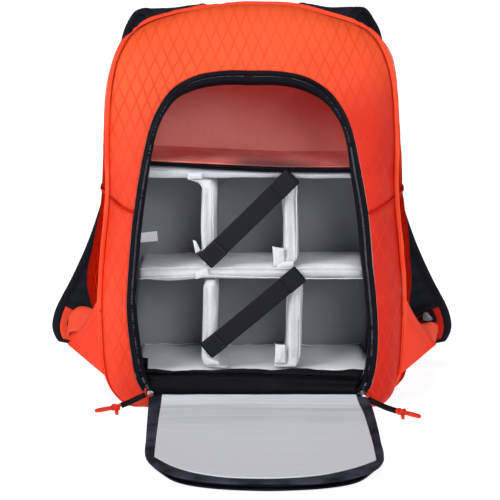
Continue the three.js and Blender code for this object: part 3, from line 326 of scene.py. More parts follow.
def slack(name):
    """The lining's red cloth over the insert, with painted shade: greyer near the middle and shadowed to the
    right.
    """
    made = Material(name, roughness=0.5, specular=0.15)
    across, deep, _ = made.axes(made.place)
    ground = made.blend(made.ramp(made.clouds(0.03, 3.0), 0.3, 0.7, 0.0, 0.5), "lining_pale", "lining_red")
    # Painted shade towards the cover's grey, strongest in the middle near the front.
    from_left = made.ramp(across, -0.04, 0.0, 0.0, 1.0)
    middle = made.math("MULTIPLY", from_left, made.ramp(across, 0.03, 0.09, 1.0, 0.4))
    near = made.math("MULTIPLY", middle, made.ramp(deep, -0.05, 0.03, 0.85, 0.1))
    made.colour(made.blend(near, ground, "cover"))
    made.bump(made.clouds(0.02, 3.0), 0.0015)
    made.weave(0.0012, 0.00005, made.place)
    return made.data


def smooth(name, shade, roughness, metallic=0.0, grain=0.002, specular=0.4):
    """Moulded plastic, rubber or plated metal, with a faint grain."""
    made = Material(name, roughness=roughness, metallic=metallic, specular=specular)
    speckle = made.clouds(grain, 2.0)
    made.colour(made.blend(made.math("MULTIPLY", speckle, 0.3), shade, "black"))
    made.bump(speckle, 0.00006)
    return made.data


def backdrop(name, shade, glow):
    """A pale table that gives off a little light of its own, as one lit from below does."""
    made = Material(name, roughness=0.9, specular=0.1)
    made.colour(made.blend(made.clouds(0.5, 1.0), shade, shade))
    made.shader.inputs["Emission Color"].default_value = (1, 1, 1, 1)
    made.shader.inputs["Emission Strength"].default_value = glow
    return made.data


FINISH = {
    # Painted shade to the right and low down, and a painted highlight high up.
    "front": ripstop("orange_front", "orange", "orange_deep", aside=0.8, painted_highlight=0.9),
    # Painted shadow towards the back and low down, and a painted pale highlight high up.
    "side": ripstop("orange_side", "orange_pale", "orange", tint=0.2, behind=0.95),
    "pale": plain_cloth("orange_webbing", "orange_pale", "orange", pitch=0.0016, depth=0.0002),
    # Deep orange for the seams: painted shade in the front seam's groove and beside the wings' hem stitches,
    # and the colour of the raised cross seams.
    "seam": plain_cloth("orange_seam", "orange_deep", "orange_dark", patch=0.01, specular=0.05),
    "strip": plain_cloth("orange_strip", "orange_pale", "orange", patch=0.02),
    "lining": coated("red_lining", "lining_red", "lining_pale"),
    "slack": slack("red_slack"),
    "cloth": plain_cloth("black_cloth", "black", "black_light", roughness=0.7),
    "nylon": plain_cloth("black_nylon", "jet", "jet_light", roughness=0.45, specular=0.09),
    "flap_tape": plain_cloth("flap_tape", "black_light", "thread_grey", roughness=0.7, specular=0.04),
    # The cover's mauve grey is partly a painted reflection of the red lining.
    "cover": plain_cloth("cover_nylon", "cover", "black_light", roughness=0.4, specular=0.6),
    "twill": twill("black_twill", "black_light", "black"),
    "wing": plain_cloth("orange_wing", "wing", "wing_shade"),
    # The coil's grey is partly its own and partly a painted highlight along the edging.
    "coil": plain_cloth("zip_coil", "thread_grey", "jet_light", roughness=0.4, patch=0.006, specular=0.3),
    "shaded_patch": plain_cloth("orange_shaded_patch", "orange_deep", "orange_dark", patch=0.02),
    "lock": smooth("black_lock", "jet", 0.6, specular=0.12),
    "patch": plain_cloth("orange_patch", "orange_pale", "orange_deep", patch=0.02),
    "tape": ribbed("black_tape", "jet_light", "jet", 0.0012, 0.00012, roughness=0.45),
    "facing": ribbed("black_facing", "jet_light", "jet", 0.0018, 0.00015, roughness=0.6),
    "binding": ribbed("black_binding", "black_light", "black", 0.0018, 0.00015, roughness=0.65),
    "mesh": spacer_mesh("black_mesh", "black_light", "black"),
    "fleece": fleece("grey_fleece", "fleece", "fleece_shade"),
    # The side and back pads: a darker copy of the fleece, partly their own grey and partly painted shade.
    "wall": fleece("grey_wall", "wall", "wall_shade"),
    "satin": satin("grey_lining", "satin", "satin_shade"),
    "label": plain_cloth("white_label", "white", "fleece", pitch=0.0006),
    "plastic": smooth("grey_plastic", "grey_plastic", 0.4),
    "steel": smooth("bright_metal", "steel", 0.22, metallic=1.0),
    "cord": ribbed("orange_cord", "orange_pale", "orange_deep", 0.0014, 0.0002),
    "thread": plain_cloth("orange_thread", "orange_deep", "orange", pitch=0.0005),
    "dark_thread": plain_cloth("black_thread", "black_light", "black", pitch=0.0005),
    "pale_thread": plain_cloth("grey_thread", "thread_grey", "black_light", pitch=0.0005),
    "floor": backdrop("pale_floor", "fleece_shade", glow=0.84),
}

# Making pieces


def finish_piece(name, data, materials, shaded_smooth=True):
    """A new object of the bag, with its finish, attached to the bag's root."""
    made = bpy.data.objects.new(name, data)
    bpy.context.scene.collection.objects.link(made)
    for key in materials:
        data.materials.append(FINISH[key])
    if shaded_smooth:
        data.polygons.foreach_set("use_smooth", [True] * len(data.polygons))
    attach(made, "root")
    return made


def welded(names):
    """The CAD nodes as one editable mesh, with whole faces where the solid has split ones."""
    mesh = bmesh.new()
    for name in names:
        mesh.from_mesh(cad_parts[name].data)
    bmesh.ops.remove_doubles(mesh, verts=mesh.verts, dist=1e-5)
    limits = {"angle_face_threshold": math.radians(40), "angle_shape_threshold": math.radians(80)}
    bmesh.ops.join_triangles(mesh, faces=mesh.faces, **limits)
    for face in mesh.faces:
        face.material_index = 0
    return mesh


def cad_corners(names):
    """The corners of CAD nodes."""
    mesh = welded(names)
    places = [corner.co.copy() for corner in mesh.verts]
    mesh.free()
    return places


def settled(made, levels):
    """Subdivides a piece and keeps the result."""
    change = made.modifiers.new("round", "SUBSURF")
    change.levels = levels
    change.render_levels = levels
    change.boundary_smooth = "PRESERVE_CORNERS"
    keep_modifiers(made)


def keep_modifiers(made):
    bpy.context.view_layer.update()
    ready = made.evaluated_get(bpy.context.evaluated_depsgraph_get())
    fresh = bpy.data.meshes.new_from_object(ready)
    made.modifiers.clear()
    made.data = fresh


def soft_copy(name, nodes, materials, levels=2, crease=0.7, sharp=50):
    """A rounded copy of CAD nodes that stands for them."""
    mesh = welded(nodes)
    layer = mesh.edges.layers.float.get("crease_edge") or mesh.edges.layers.float.new("crease_edge")
    for edge in mesh.edges:
        if len(edge.link_faces) == 2 and edge.calc_face_angle(0) > math.radians(sharp):
            edge[layer] = crease
    data = bpy.data.meshes.new(name)
    mesh.to_mesh(data)
    mesh.free()
    made = finish_piece(name, data, materials)
    settled(made, levels)
    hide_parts(*nodes)
    return made


def boxy_copy(name, nodes, materials, bevel, cell):
    """A copy of flat-sided CAD nodes with rounded edges and an even grid, which stands for them."""
    data = bpy.data.meshes.new(name)
    mesh = welded(nodes)
    mesh.to_mesh(data)
    mesh.free()
    made = finish_piece(name, data, materials)
    edge = made.modifiers.new("edge", "BEVEL")
    edge.width = bevel
    edge.segments = 3
    edge.angle_limit = math.radians(50)
    grid = made.modifiers.new("grid", "REMESH")
    grid.mode = "VOXEL"
    grid.voxel_size = cell
    grid.use_smooth_shade = True
    keep_modifiers(made)
    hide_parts(*nodes)
    return made


def puff(pads, cap, shrink):
    """Blows up padded pieces a little as cloth, and holds each corner within the cap."""
    starts = {}
    for made in pads:
        starts[made.name] = corners(made)
        swell(made, lambda place, normal: -shrink)
        cloth = made.modifiers.new("cloth", "CLOTH")
        cloth.settings.use_pressure = True
        cloth.settings.uniform_pressure_force = PAD_PRESSURE
        cloth.settings.effector_weights.gravity = 0
        cloth.settings.mass = 0.3
    for step in range(1, PAD_FRAMES + 1):
        bpy.context.scene.frame_set(step)
    for made in pads:
        keep_modifiers(made)
        start = starts[made.name]
        moved = corners(made) - start
        reach = np.linalg.norm(moved, axis=1, keepdims=True)
        moved *= np.minimum(1, cap / np.maximum(reach, 1e-9))
        made.data.vertices.foreach_set("co", (start + moved).ravel())
        made.data.update()
        settled(made, 1)
    bpy.context.scene.frame_set(1)


def corners(made):
    """The places of a piece's corners, as an array."""
    flat = np.empty(len(made.data.vertices) * 3)
    made.data.vertices.foreach_get("co", flat)
    return flat.reshape(-1, 3)


def reshape(made, shift):
    """Moves each corner of a piece by what the function gives for its place."""
    places = corners(made)
    moved = [Vector(place) + shift(Vector(place)) for place in places]
    made.data.vertices.foreach_set("co", np.array(moved).ravel())
    made.data.update()


def swell(made, height):
    """Moves each corner along its own outward direction."""
    places = corners(made)
    normals = [Vector(corner.vector) for corner in made.data.vertex_normals]
    moved = [Vector(p) + n * height(Vector(p), n) for p, n in zip(places, normals)]
    made.data.vertices.foreach_set("co", np.array(moved).ravel())
    made.data.update()


def lay_flat(made, flat_place):
    """Gives a piece its flat coordinates, which woven finishes follow."""
    layer = made.data.uv_layers.new(name="flat")
    normals = [Vector(corner.vector) for corner in made.data.vertex_normals]
    flats = [flat_place(Vector(v.co), normals[v.index]) for v in made.data.vertices]
    for loop in made.data.loops:
        layer.data[loop.index].uv = flats[loop.vertex_index]


def paint(made, choose):
    """Gives each face of a piece the finish whose number the function returns."""
    for face in made.data.polygons:
        face.material_index = choose(Vector(face.center), Vector(face.normal))


def ripple(place, size, seed=0.0):
    """Smooth noise from -1 to 1 that repeats exactly each run."""
    return noise.noise(Vector(place) / size + Vector((seed, seed * 1.7, seed * 0.3)))


def skin(made):
    return BVHTree.FromObject(made, bpy.context.evaluated_depsgraph_get())


def tree_of(points):
    tree = KDTree(len(points))
    for index, point in enumerate(points):
        tree.insert(point, index)
    tree.balance()
    return tree


def evenly(points, spacing, closed=False):
    """A smooth line through the points, with corners this far apart."""
    line = [Vector(p) for p in points]
    fine = []
    count = len(line)
    pieces = count if closed else count - 1
    for index in range(pieces):
        if closed:
            a, b, c, d = (line[(index + k - 1) % count] for k in range(4))
        else:
            a, b = line[max(index - 1, 0)], line[index]
            c, d = line[index + 1], line[min(index + 2, count - 1)]
        for step in range(8):
            t = step / 8
            fine.append(0.5 * (2 * b + (c - a) * t + (2 * a - 5 * b + 4 * c - d) * t * t
                               + (3 * b - 3 * c + d - a) * t ** 3))
    fine.append(line[0].copy() if closed else line[-1].copy())
    steps = np.array([(q - p).length for p, q in zip(fine, fine[1:])])
    reach = np.concatenate([[0], np.cumsum(steps)])
    wanted = np.linspace(0, reach[-1], max(int(reach[-1] / spacing), 2) + 1)
    table = np.array(fine)
    return [Vector(row) for row in np.stack([np.interp(wanted, reach, table[:, k]) for k in range(3)], 1)]


def rim(nodes, centre, plane, innermost=False, window=1.6):
    """Points of CAD nodes in order round a centre, from straight down: the farthest in each direction."""
    across, up = plane
    found = []
    for place in cad_corners(nodes):
        side = place[across] - centre[0]
        rise = place[up] - centre[1]
        found.append((math.degrees(math.atan2(side, -rise)), math.hypot(side, rise), place))
    found.sort(key=lambda row: row[0])
    sign = -1 if innermost else 1
    return [
        place for angle, reach, place in found
        if all(sign * other <= sign * reach for turn, other, _ in found if abs(turn - angle) < window)
    ]


def on_skin(line, tree, height=0.0):
    """The line laid on a surface, and the surface's direction at each of its points."""
    laid = []
    for point in line:
        place, normal, _, _ = tree.find_nearest(point)
        laid.append((place + normal * height, normal))
    return [p for p, _ in laid], [n for _, n in laid]


def sweep(name, line, ups, section, materials, closed=False, scale=None):
    """A solid with one section along a line. The section's points are (across, up) pairs."""
    mesh = bmesh.new()
    rings = []
    reach = 0.0
    layer = mesh.loops.layers.uv.new("flat")
    travelled = []
    count = len(line)
    for index, (point, up) in enumerate(zip(line, ups)):
        ahead = line[(index + 1) % count] if closed else line[min(index + 1, count - 1)]
        behind = line[index - 1] if closed or index else line[0]
        run = (ahead - behind).normalized()
        side = run.cross(up).normalized()
        rise = side.cross(run).normalized()
        size = scale(index / (count - 1)) if scale else 1.0
        rings.append([mesh.verts.new(point + side * a * size + rise * u * size) for a, u in section])
        travelled.append(reach)
        reach += (ahead - point).length
    around = len(section)
    for index in range(count if closed else count - 1):
        here, there = rings[index], rings[(index + 1) % count]
        for k in range(around):
            face = mesh.faces.new([here[k], here[(k + 1) % around], there[(k + 1) % around], there[k]])
            ends = [(k, 0), (k + 1, 0), (k + 1, 1), (k, 1)]
            length = (line[(index + 1) % count] - line[index]).length
            for loop, (turn, far) in zip(face.loops, ends):
                loop[layer].uv = (turn * 0.002, travelled[index] + far * length)
    if not closed:
        mesh.faces.new(rings[0][::-1])
        mesh.faces.new(rings[-1])
    bmesh.ops.recalc_face_normals(mesh, faces=mesh.faces)
    data = bpy.data.meshes.new(name)
    mesh.to_mesh(data)
    mesh.free()
    return finish_piece(name, data, materials)


def between(rows, steps):
    """Rows of numbers with smooth ones added between them."""
    rows = np.array(rows)
    last = len(rows) - 1
    fine = []
    for index in range(last):
        a, b, c, d = (rows[min(max(index + k, 0), last)] for k in (-1, 0, 1, 2))
        for step in range(steps):
            t = step / steps
            fine.append(0.5 * (2 * b + (c - a) * t + (2 * a - 5 * b + 4 * c - d) * t * t
                               + (3 * b - 3 * c + d - a) * t ** 3))
    fine.append(rows[-1])
    return fine


def loft(name, rows, section, materials, choose):
    """A solid through sections. Each row holds a middle, two directions and the two half sizes."""
    mesh = bmesh.new()
    layer = mesh.loops.layers.uv.new("flat")
    rings, reach, kinds = [], [0.0], []
    for row in rows:
        middle, across, out = Vector(row[0:3]), Vector(row[3:6]).normalized(), Vector(row[6:9]).normalized()
        half, thick = row[9], row[10]
        points = section(half, thick)
        rings.append([mesh.verts.new(middle + across * a + out * u) for a, u in points])
        kinds.append((points, half))
    for before, after in zip(rows, rows[1:]):
        reach.append(reach[-1] + (Vector(after[0:3]) - Vector(before[0:3])).length)
    around = len(rings[0])
    for index in range(len(rings) - 1):
        points, half = kinds[index]
        for k in range(around):
            far = (k + 1) % around
            here, there = rings[index], rings[index + 1]
            face = mesh.faces.new([here[k], here[far], there[far], there[k]])
            face.material_index = choose((points[k][0] + points[far][0]) / 2, half)
            ends = [(k, index), (far, index), (far, index + 1), (k, index + 1)]
            for corner, (turn, row) in zip(face.loops, ends):
                corner[layer].uv = (points[turn][0], reach[row])
    mesh.faces.new(rings[0][::-1])
    mesh.faces.new(rings[-1])
    bmesh.ops.recalc_face_normals(mesh, faces=mesh.faces)
    data = bpy.data.meshes.new(name)
    mesh.to_mesh(data)
    mesh.free()
    return finish_piece(name, data, materials)


def round_section(across, up=None, sides=10):
    up = up or across
    turns = [2 * math.pi * k / sides for k in range(sides)]
    return [(across / 2 * math.cos(t), up / 2 * math.sin(t)) for t in turns]


def band_section(wide, thick, crown=0.0):
    """A flat band with rounded edges, standing on its line."""
    half = wide / 2
    turn = thick / 2
    points = []
    for k in range(5):
        angle = -math.pi / 2 + math.pi * k / 4
        points.append((half - turn + turn * math.cos(angle), turn + turn * math.sin(angle)))
    points.append((0, thick + crown))
    for k in range(5):
        angle = math.pi / 2 + math.pi * k / 4
        points.append((-half + turn + turn * math.cos(angle), turn + turn * math.sin(angle)))
    return points


def sheet(name, place, columns, rows, thick, materials):
    """A cloth of some thickness, whose face passes through place(across, up) for shares from 0 to 1."""
    grid = [[Vector(place(c / columns, r / rows)) for c in range(columns + 1)] for r in range(rows + 1)]
    mesh = bmesh.new()
    layer = mesh.loops.layers.uv.new("flat")
    faces = []
    for r in range(rows + 1):
        for c in range(columns + 1):
            along = grid[r][min(c + 1, columns)] - grid[r][max(c - 1, 0)]
            rise = grid[min(r + 1, rows)][c] - grid[max(r - 1, 0)][c]
            inward = rise.cross(along).normalized() * thick
            faces.append((mesh.verts.new(grid[r][c]), mesh.verts.new(grid[r][c] + inward)))
    wide = (grid[0][-1] - grid[0][0]).length
    tall = (grid[-1][0] - grid[0][0]).length
    spots = {}
    for r in range(rows + 1):
        for c in range(columns + 1):
            for corner in faces[r * (columns + 1) + c]:
                spots[corner] = (c / columns * wide, r / rows * tall)
    edge = []
    for r in range(rows):
        for c in range(columns):
            here = [(r, c), (r, c + 1), (r + 1, c + 1), (r + 1, c)]
            front, behind = zip(*(faces[a * (columns + 1) + b] for a, b in here))
            mesh.faces.new(front)
            mesh.faces.new(behind[::-1])
    edge += [(0, c) for c in range(columns)] + [(r, columns) for r in range(rows)]
    edge += [(rows, c) for c in range(columns, 0, -1)] + [(r, 0) for r in range(rows, 0, -1)]
    for (a, b), (d, e) in zip(edge, edge[1:] + edge[:1]):
        one, two = faces[a * (columns + 1) + b], faces[d * (columns + 1) + e]
        mesh.faces.new([one[0], one[1], two[1], two[0]])
    bmesh.ops.recalc_face_normals(mesh, faces=mesh.faces)
    for face in mesh.faces:
        for loop in face.loops:
            loop[layer].uv = spots[loop.vert]
    data = bpy.data.meshes.new(name)
    mesh.to_mesh(data)
    mesh.free()
    return finish_piece(name, data, materials)


def along_line(points, share):
    """The place at a share of the way along straight pieces."""
    at = share * (len(points) - 1)
    index = min(int(at), len(points) - 2)
    return Vector(points[index]).lerp(Vector(points[index + 1]), at - index)


def bump_at(value, middle, spread):
    """1 at the middle, fading smoothly to 0 on both sides."""
    return math.exp(-((value - middle) / spread) ** 2)


def stitches(name, line, ups, length, gap, thick, material):
    """A row of sewn stitches along a line that is already evenly spaced."""
    mesh = bmesh.new()
    step = float(np.median([(q - p).length for p, q in zip(line, line[1:])]))
    span = max(round(length / step), 1)
    pitch = max(round((length + gap) / step), span + 1)
    for start in range(0, len(line) - span, pitch):
        run = (line[start + span] - line[start]).normalized()
        side = run.cross(ups[start]).normalized()
        rise = side.cross(run).normalized()
        rows = []
        for share, size in ((0.0, 0.35), (0.2, 0.9), (0.8, 0.9), (1.0, 0.35)):
            middle = line[start].lerp(line[start + span], share)
            rows.append([
                mesh.verts.new(middle + (side * math.cos(t) + rise * math.sin(t)) * thick / 2 * size)
                for t in (0.0, 1.2566, 2.5133, 3.7699, 5.0265)
            ])
        for here, there in zip(rows, rows[1:]):
            for k in range(5):
                mesh.faces.new([here[k], here[(k + 1) % 5], there[(k + 1) % 5], there[k]])
        mesh.faces.new(rows[0][::-1])
        mesh.faces.new(rows[-1])
    bmesh.ops.recalc_face_normals(mesh, faces=mesh.faces)
    data = bpy.data.meshes.new(name)
    mesh.to_mesh(data)
    mesh.free()
    return finish_piece(name, data, [material])

# Camera, floor and light

camera = bpy.data.objects.new("camera", bpy.data.cameras.new("camera"))
camera.data.lens = CAMERA_LENS
camera.location = CAMERA_PLACE
camera.rotation_euler = (math.radians(CAMERA_PITCH), 0, 0)
bpy.context.scene.collection.objects.link(camera)
bpy.context.scene.camera = camera
bpy.context.scene.view_settings.view_transform = "Standard"


def sunlamp(name, toward, strength, spread):
    """A far soft lamp, as wide as the spread in degrees seems."""
    data = bpy.data.lights.new(name, "SUN")
    data.energy = strength
    data.angle = math.radians(spread)
    made = bpy.data.objects.new(name, data)
    made.rotation_euler = Vector(toward).to_track_quat("Z", "Y").to_euler()
    bpy.context.scene.collection.objects.link(made)


WORLD_LIGHT = 0.46  # from the front
WORLD_BEHIND = 0.25
SUNS = {
    "key": {"from": (-1.0, -0.8, 0.55), "strength": 2.0, "spread": 28},
    "front": {"from": (0.35, -1, 0.42), "strength": 1.0, "spread": 26},
    "top": {"from": (-0.2, -0.4, 1), "strength": 1.1, "spread": 40},
    "right": {"from": (1, -0.1, 0.45), "strength": 0.8, "spread": 30},
}
for name, sun in SUNS.items():
    sunlamp(name, sun["from"], sun["strength"], sun["spread"])

world = bpy.data.worlds.new("studio")
world.use_nodes = True
sky = world.node_tree.nodes["Background"]
toward = world.node_tree.nodes.new("ShaderNodeTexCoord")
parts = world.node_tree.nodes.new("ShaderNodeSeparateXYZ")
fade = world.node_tree.nodes.new("ShaderNodeMapRange")
world.node_tree.links.new(toward.outputs["Generated"], parts.inputs[0])
world.node_tree.links.new(parts.outputs["Y"], fade.inputs["Value"])
fade_settings = {"From Min": -1.0, "From Max": 1.0, "To Min": WORLD_LIGHT, "To Max": WORLD_BEHIND}
for key, value in fade_settings.items():
    fade.inputs[key].default_value = value
world.node_tree.links.new(fade.outputs[0], sky.inputs["Strength"])
bpy.context.scene.world = world

FLOOR_HALF = 12.0
floor_mesh = bmesh.new()
bmesh.ops.create_grid(floor_mesh, x_segments=4, y_segments=4, size=FLOOR_HALF)
floor_data = bpy.data.meshes.new("floor")
floor_mesh.to_mesh(floor_data)
floor_mesh.free()
floor_data.materials.append(FINISH["floor"])
floor = bpy.data.objects.new("floor", floor_data)
floor.location.z = -0.0002
bpy.context.scene.collection.objects.link(floor)

# Zip pulls: the cords come first


def cad_rings(node, first):
    """The corners of a lofted solid, one group for each section, from the corner of its first end cap."""
    mesh = bmesh.new()
    mesh.from_mesh(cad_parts[node].data)
    bmesh.ops.remove_doubles(mesh, verts=mesh.verts, dist=1e-5)
    start = min(mesh.verts, key=lambda corner: (corner.co - Vector(first)).length)
    seen = {start}
    group = [start]
    groups = []
    while True:
        group = [n for n in {e.other_vert(v) for v in group for e in v.link_edges} if n not in seen]
        if not group:
            break
        seen.update(group)
        groups.append([v.co.copy() for v in group])
    mesh.free()
    return groups


# Where each pull's knot lies, where its loop ends and where its short end points
PULL_KNOTS = {
    "left": {
        "knot": (-0.1452, -0.1, 0.0052),
        "tip": (-0.1679, -0.1074, 0.0027),
        "end": (-0.1436, -0.118, 0.0025),
    },
    "right": {
        "knot": (0.1585, -0.1215, 0.0054),
        "tip": (0.1785, -0.1336, 0.0027),
        "end": (0.1592, -0.1375, 0.0025),
    },
}
PULL_SLEEVES = {
    "left": [
        (-0.1142, -0.0925, 0.0172), (-0.122, -0.0925, 0.0132), (-0.13, -0.0925, 0.0092),
        (-0.1402, -0.0945, 0.0056),
    ],
    "right": [
        (0.1248, -0.0945, 0.0122), (0.1335, -0.1005, 0.0092), (0.1435, -0.109, 0.0066),
        (0.1535, -0.1175, 0.0052),
    ],
}
SLEEVE_WIDE = 0.0068
SLEEVE_HIGH = 0.0062
SLIDER_SHIFT = {"left": (0.0, 0.0, 0.0), "right": (0.0052, 0.0, 0.0)}
KNOT_SIZE = 0.0015
KNOT_CORD = 0.004  # diameter of the cord in the knot, the loop and the short end
LOOP_HALF = 0.002  # half the width between the loop's two strands
LINK_CORD = 0.0018  # diameter of the two thin strands at the slider


def knot_line(centre, size, run):
    """A closed trefoil line, turned so that it lies along the cord."""
    side = run.cross(Vector((0, 0, 1))).normalized()
    points = []
    for k in range(72):
        t = 2 * math.pi * k / 72
        a, b, c = math.sin(t) + 2 * math.sin(2 * t), math.cos(t) - 2 * math.cos(2 * t), -math.sin(3 * t)
        points.append(centre + (run * a + side * b + Vector((0, 0, 1)) * c * 0.9) * size)
    return points


def loop_line(start, tip, wide):
    """A long narrow loop of cord, flattened towards its tip."""
    run = tip - start
    side = run.cross(Vector((0, 0, 1))).normalized()
    points = []
    for k in range(48):
        t = 2 * math.pi * k / 48
        share = (1 - math.cos(t)) / 2
        points.append(start.lerp(tip, share) + side * wide * math.sin(t) * (0.55 + 0.45 * share))
    return points


for side, route in PULL_ROUTES.items():
    up = Vector((0, 0, 1))
    line = evenly(route, 0.0006)
    strands = sweep(f"pull_cord_{side}", line, [up] * len(line), round_section(PULL_CORD), ["cord"])
    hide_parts(f"zip_pull_cord_{side}")
    tube = evenly(PULL_SLEEVES[side], 0.001)
    sleeve = sweep(f"pull_sleeve_{side}", tube, [up] * len(tube),
                   round_section(SLEEVE_WIDE, SLEEVE_HIGH, sides=14), ["lock"])
    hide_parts(f"zip_pull_sleeve_{side}")
    knot_at, tip, end = (Vector(PULL_KNOTS[side][key]) for key in ("knot", "tip", "end"))
    run = (tip - knot_at).normalized()
    turns = knot_line(knot_at, KNOT_SIZE, run)
    knot = sweep(f"pull_knot_{side}", turns, [up] * len(turns), round_section(KNOT_CORD), ["cord"],
                 closed=True)
    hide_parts(f"zip_pull_knot_{side}")
    turns = loop_line(knot_at + run * 0.001, tip - run * 0.002, LOOP_HALF)
    loop = sweep(f"pull_loop_{side}", turns, [up] * len(turns), round_section(KNOT_CORD), ["cord"],
                 closed=True)
    short = evenly([knot_at, knot_at.lerp(end, 0.6), end], 0.0008)
    stub = sweep(f"pull_end_{side}", short, [up] * len(short), round_section(KNOT_CORD), ["cord"])
    length = sum((q - p).length for p, q in zip(line, line[1:]))
    slider = soft_copy(f"slider_{side}", [f"zip_slider_{side}"], ["steel"], crease=0.6)
    reshape(slider, lambda place: Vector(SLIDER_SHIFT[side]))
    eye = Vector(route[0]) + Vector(SLIDER_SHIFT[side]) * 0.5
    mouth = Vector(PULL_SLEEVES[side][0])
    for strand in (-1, 1):
        top = eye + Vector((0, -0.001, 0.0035 + strand * 0.0016))
        halfway = eye.lerp(mouth, 0.5) + Vector((0, -0.002, 0.0012 + strand * 0.0018))
        link = evenly([top, halfway, mouth + Vector((0, 0, strand * 0.001))], 0.0008)
        sweep(f"pull_link_{side}_{strand}", link, [up] * len(link), round_section(LINK_CORD), ["cord"])

# Bag

FRONTS = ("front_panel_upper", "front_panel_lower")
SIDES = ("side_upper", "side_lower_left", "side_lower_right")


def bag_height_line(places):
    """Distances round the bag's outline, seen from the front, by the angle about its middle."""
    outer = {}
    for place in places:
        turn = round(math.degrees(math.atan2(place.x, MIDDLE_HEIGHT - place.z)) / 4)
        if turn not in outer or math.hypot(place.x, place.z - MIDDLE_HEIGHT) > outer[turn][0]:
            outer[turn] = (math.hypot(place.x, place.z - MIDDLE_HEIGHT), place)
    turns = sorted(outer)
    spots = [Vector((outer[t][1].x, outer[t][1].z)) for t in turns]
    reach = np.concatenate([[0], np.cumsum([(q - p).length for p, q in zip(spots, spots[1:])])])
    return np.array(turns) * 4.0, reach


MIDDLE_HEIGHT = 0.2
BAG_CENTRE = (0, 0.19)  # across and up, the point that the opening and the seams run round
FRONT_VIEW = (0, 2)
ROUND_TURNS, ROUND_REACH = bag_height_line(cad_corners(SIDES))
opening_line = evenly(rim(["zip_tape_body"], BAG_CENTRE, FRONT_VIEW), 0.004)
opening_tree = tree_of(opening_line)

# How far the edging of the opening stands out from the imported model's, by the angle round it from straight
# down and to the right, and how much farther its inner edge does
EDGING_OUT = [
    (0, 0), (24, 0), (36, 0.008), (45, 0.0075), (60, 0.0023), (75, 0), (120, 0), (135, 0.0014), (150, 0.0023),
    (180, 0.001), (195, 0.0028), (210, 0.0062), (225, 0.0047), (240, 0.0033), (255, 0.0024), (285, 0.0028),
    (300, 0.0033), (315, 0.001), (330, 0), (360, 0),
]
EDGING_NARROWER = [
    (0, 0), (45, 0.001), (60, 0), (120, 0), (135, 0.0025), (165, 0.0035), (180, 0.0028), (210, 0.004),
    (240, 0.0023), (270, 0.002), (285, 0.0025), (300, 0.0042), (318, 0.001), (330, 0), (360, 0),
]
EDGING_WIDE = 0.012
PANEL_GIVE = 0.03  # how far from the opening the front's cloth follows its edging


def read_off(table, value):
    return float(np.interp(value, [row[0] for row in table], [row[1] for row in table]))


def edging_pull(place, give=0.0):
    """The shift of the edging, or of the cloth beside it when a reach is given."""
    across, up = place.x - BAG_CENTRE[0], place.z - BAG_CENTRE[1]
    turn = math.degrees(math.atan2(across, -up)) % 360
    away = Vector((across, 0, up)).normalized()
    shift = read_off(EDGING_OUT, turn)
    near, _, distance = opening_tree.find(place)
    if give:
        return away * shift * max(1 - distance / give, 0)
    inside = max((near - place).dot(away), 0)
    return away * (shift + read_off(EDGING_NARROWER, turn) * min(inside / EDGING_WIDE, 1))


def shoulder_dip(place):
    """How much lower the bag's top stands before the strap on each side."""
    high = min(max((place.z - 0.36) / 0.035, 0), 1)
    dip = 0.0035 * bump_at(place.x, -0.085, 0.042) + 0.0055 * bump_at(place.x, 0.092, 0.036)
    return Vector((0, 0, -high * dip))


def from_middle(place):
    """How far out of the bag's inside a place is."""
    return (place - Vector((place.x * 0.3, 0.02, min(max(place.z, 0.06), 0.3)))).length


def meeting(first, second, order):
    """Where two sets of panels meet, as ordered outer corners of the first."""
    others = tree_of(cad_corners(second))
    met = sorted((p for p in cad_corners(first) if others.find(p)[2] < 0.0006), key=order)

    def outermost(place):
        near = (q for q in met if (q - place).length < 0.0035)
        return all(from_middle(q) <= from_middle(place) + 1e-6 for q in near)

    return [p for p in met if outermost(p)]


def turn_of(place):
    """Angle about the bag's middle, from straight down and to the right."""
    return math.atan2(place.x, BAG_CENTRE[1] - place.z) % (2 * math.pi)


seam_line = evenly(meeting(FRONTS, SIDES + ("base_panel",), turn_of), 0.002, closed=True)
seam_line = [p + shoulder_dip(p) for p in seam_line]


def round_place(place, normal):
    """Flat coordinates of the sides: depth, and distance round the outline."""
    turn = math.degrees(math.atan2(place.x, MIDDLE_HEIGHT - place.z))
    return place.y, float(np.interp(turn, ROUND_TURNS, ROUND_REACH))


def front_place(place, normal):
    return place.x, place.z


def front_folds(place):
    """Slack in the front: long shallow waves, and puckers by the seams."""
    from_opening = min(opening_tree.find(place)[2] / 0.02, 1)
    waves = ripple((place.x, 0, place.z * 0.6), 0.07) * 0.0022
    waves += ripple((place.x, 0, place.z), 0.026, 3) * 0.0007
    return Vector((0, -1, 0)) * waves * from_opening + edging_pull(place, PANEL_GIVE) + shoulder_dip(place)


def side_folds(place):
    """Slack in the sides: folds that run down and back."""
    out = Vector((place.x, 0, (place.z - MIDDLE_HEIGHT) * 0.8)).normalized()
    tilted = place.z + place.y * 0.5
    which = math.copysign(1, place.x)
    waves = ripple((tilted, place.y * 0.7, which), 0.045, 5) * 0.002
    waves += ripple((tilted, place.y, which), 0.017, 8) * 0.0007
    hem = min(abs(place.y - 0.068) / 0.02, 1)
    lower = bump_at(place.z, 0.14, 0.075)
    valley = (0.004 if place.x < 0 else 0.002) * bump_at(place.y, -0.034, 0.013)
    ridge_by_seam = 0.0015 * bump_at(place.y, -0.056, 0.007)
    puckers = 0.0012 * ripple((place.z, 0, which), 0.007, 2) * bump_at(place.y, -0.05, 0.012)
    waves += puckers * bump_at(place.z, 0.2, 0.045)
    return out * (waves * hem + lower * (ridge_by_seam - valley)) + shoulder_dip(place)


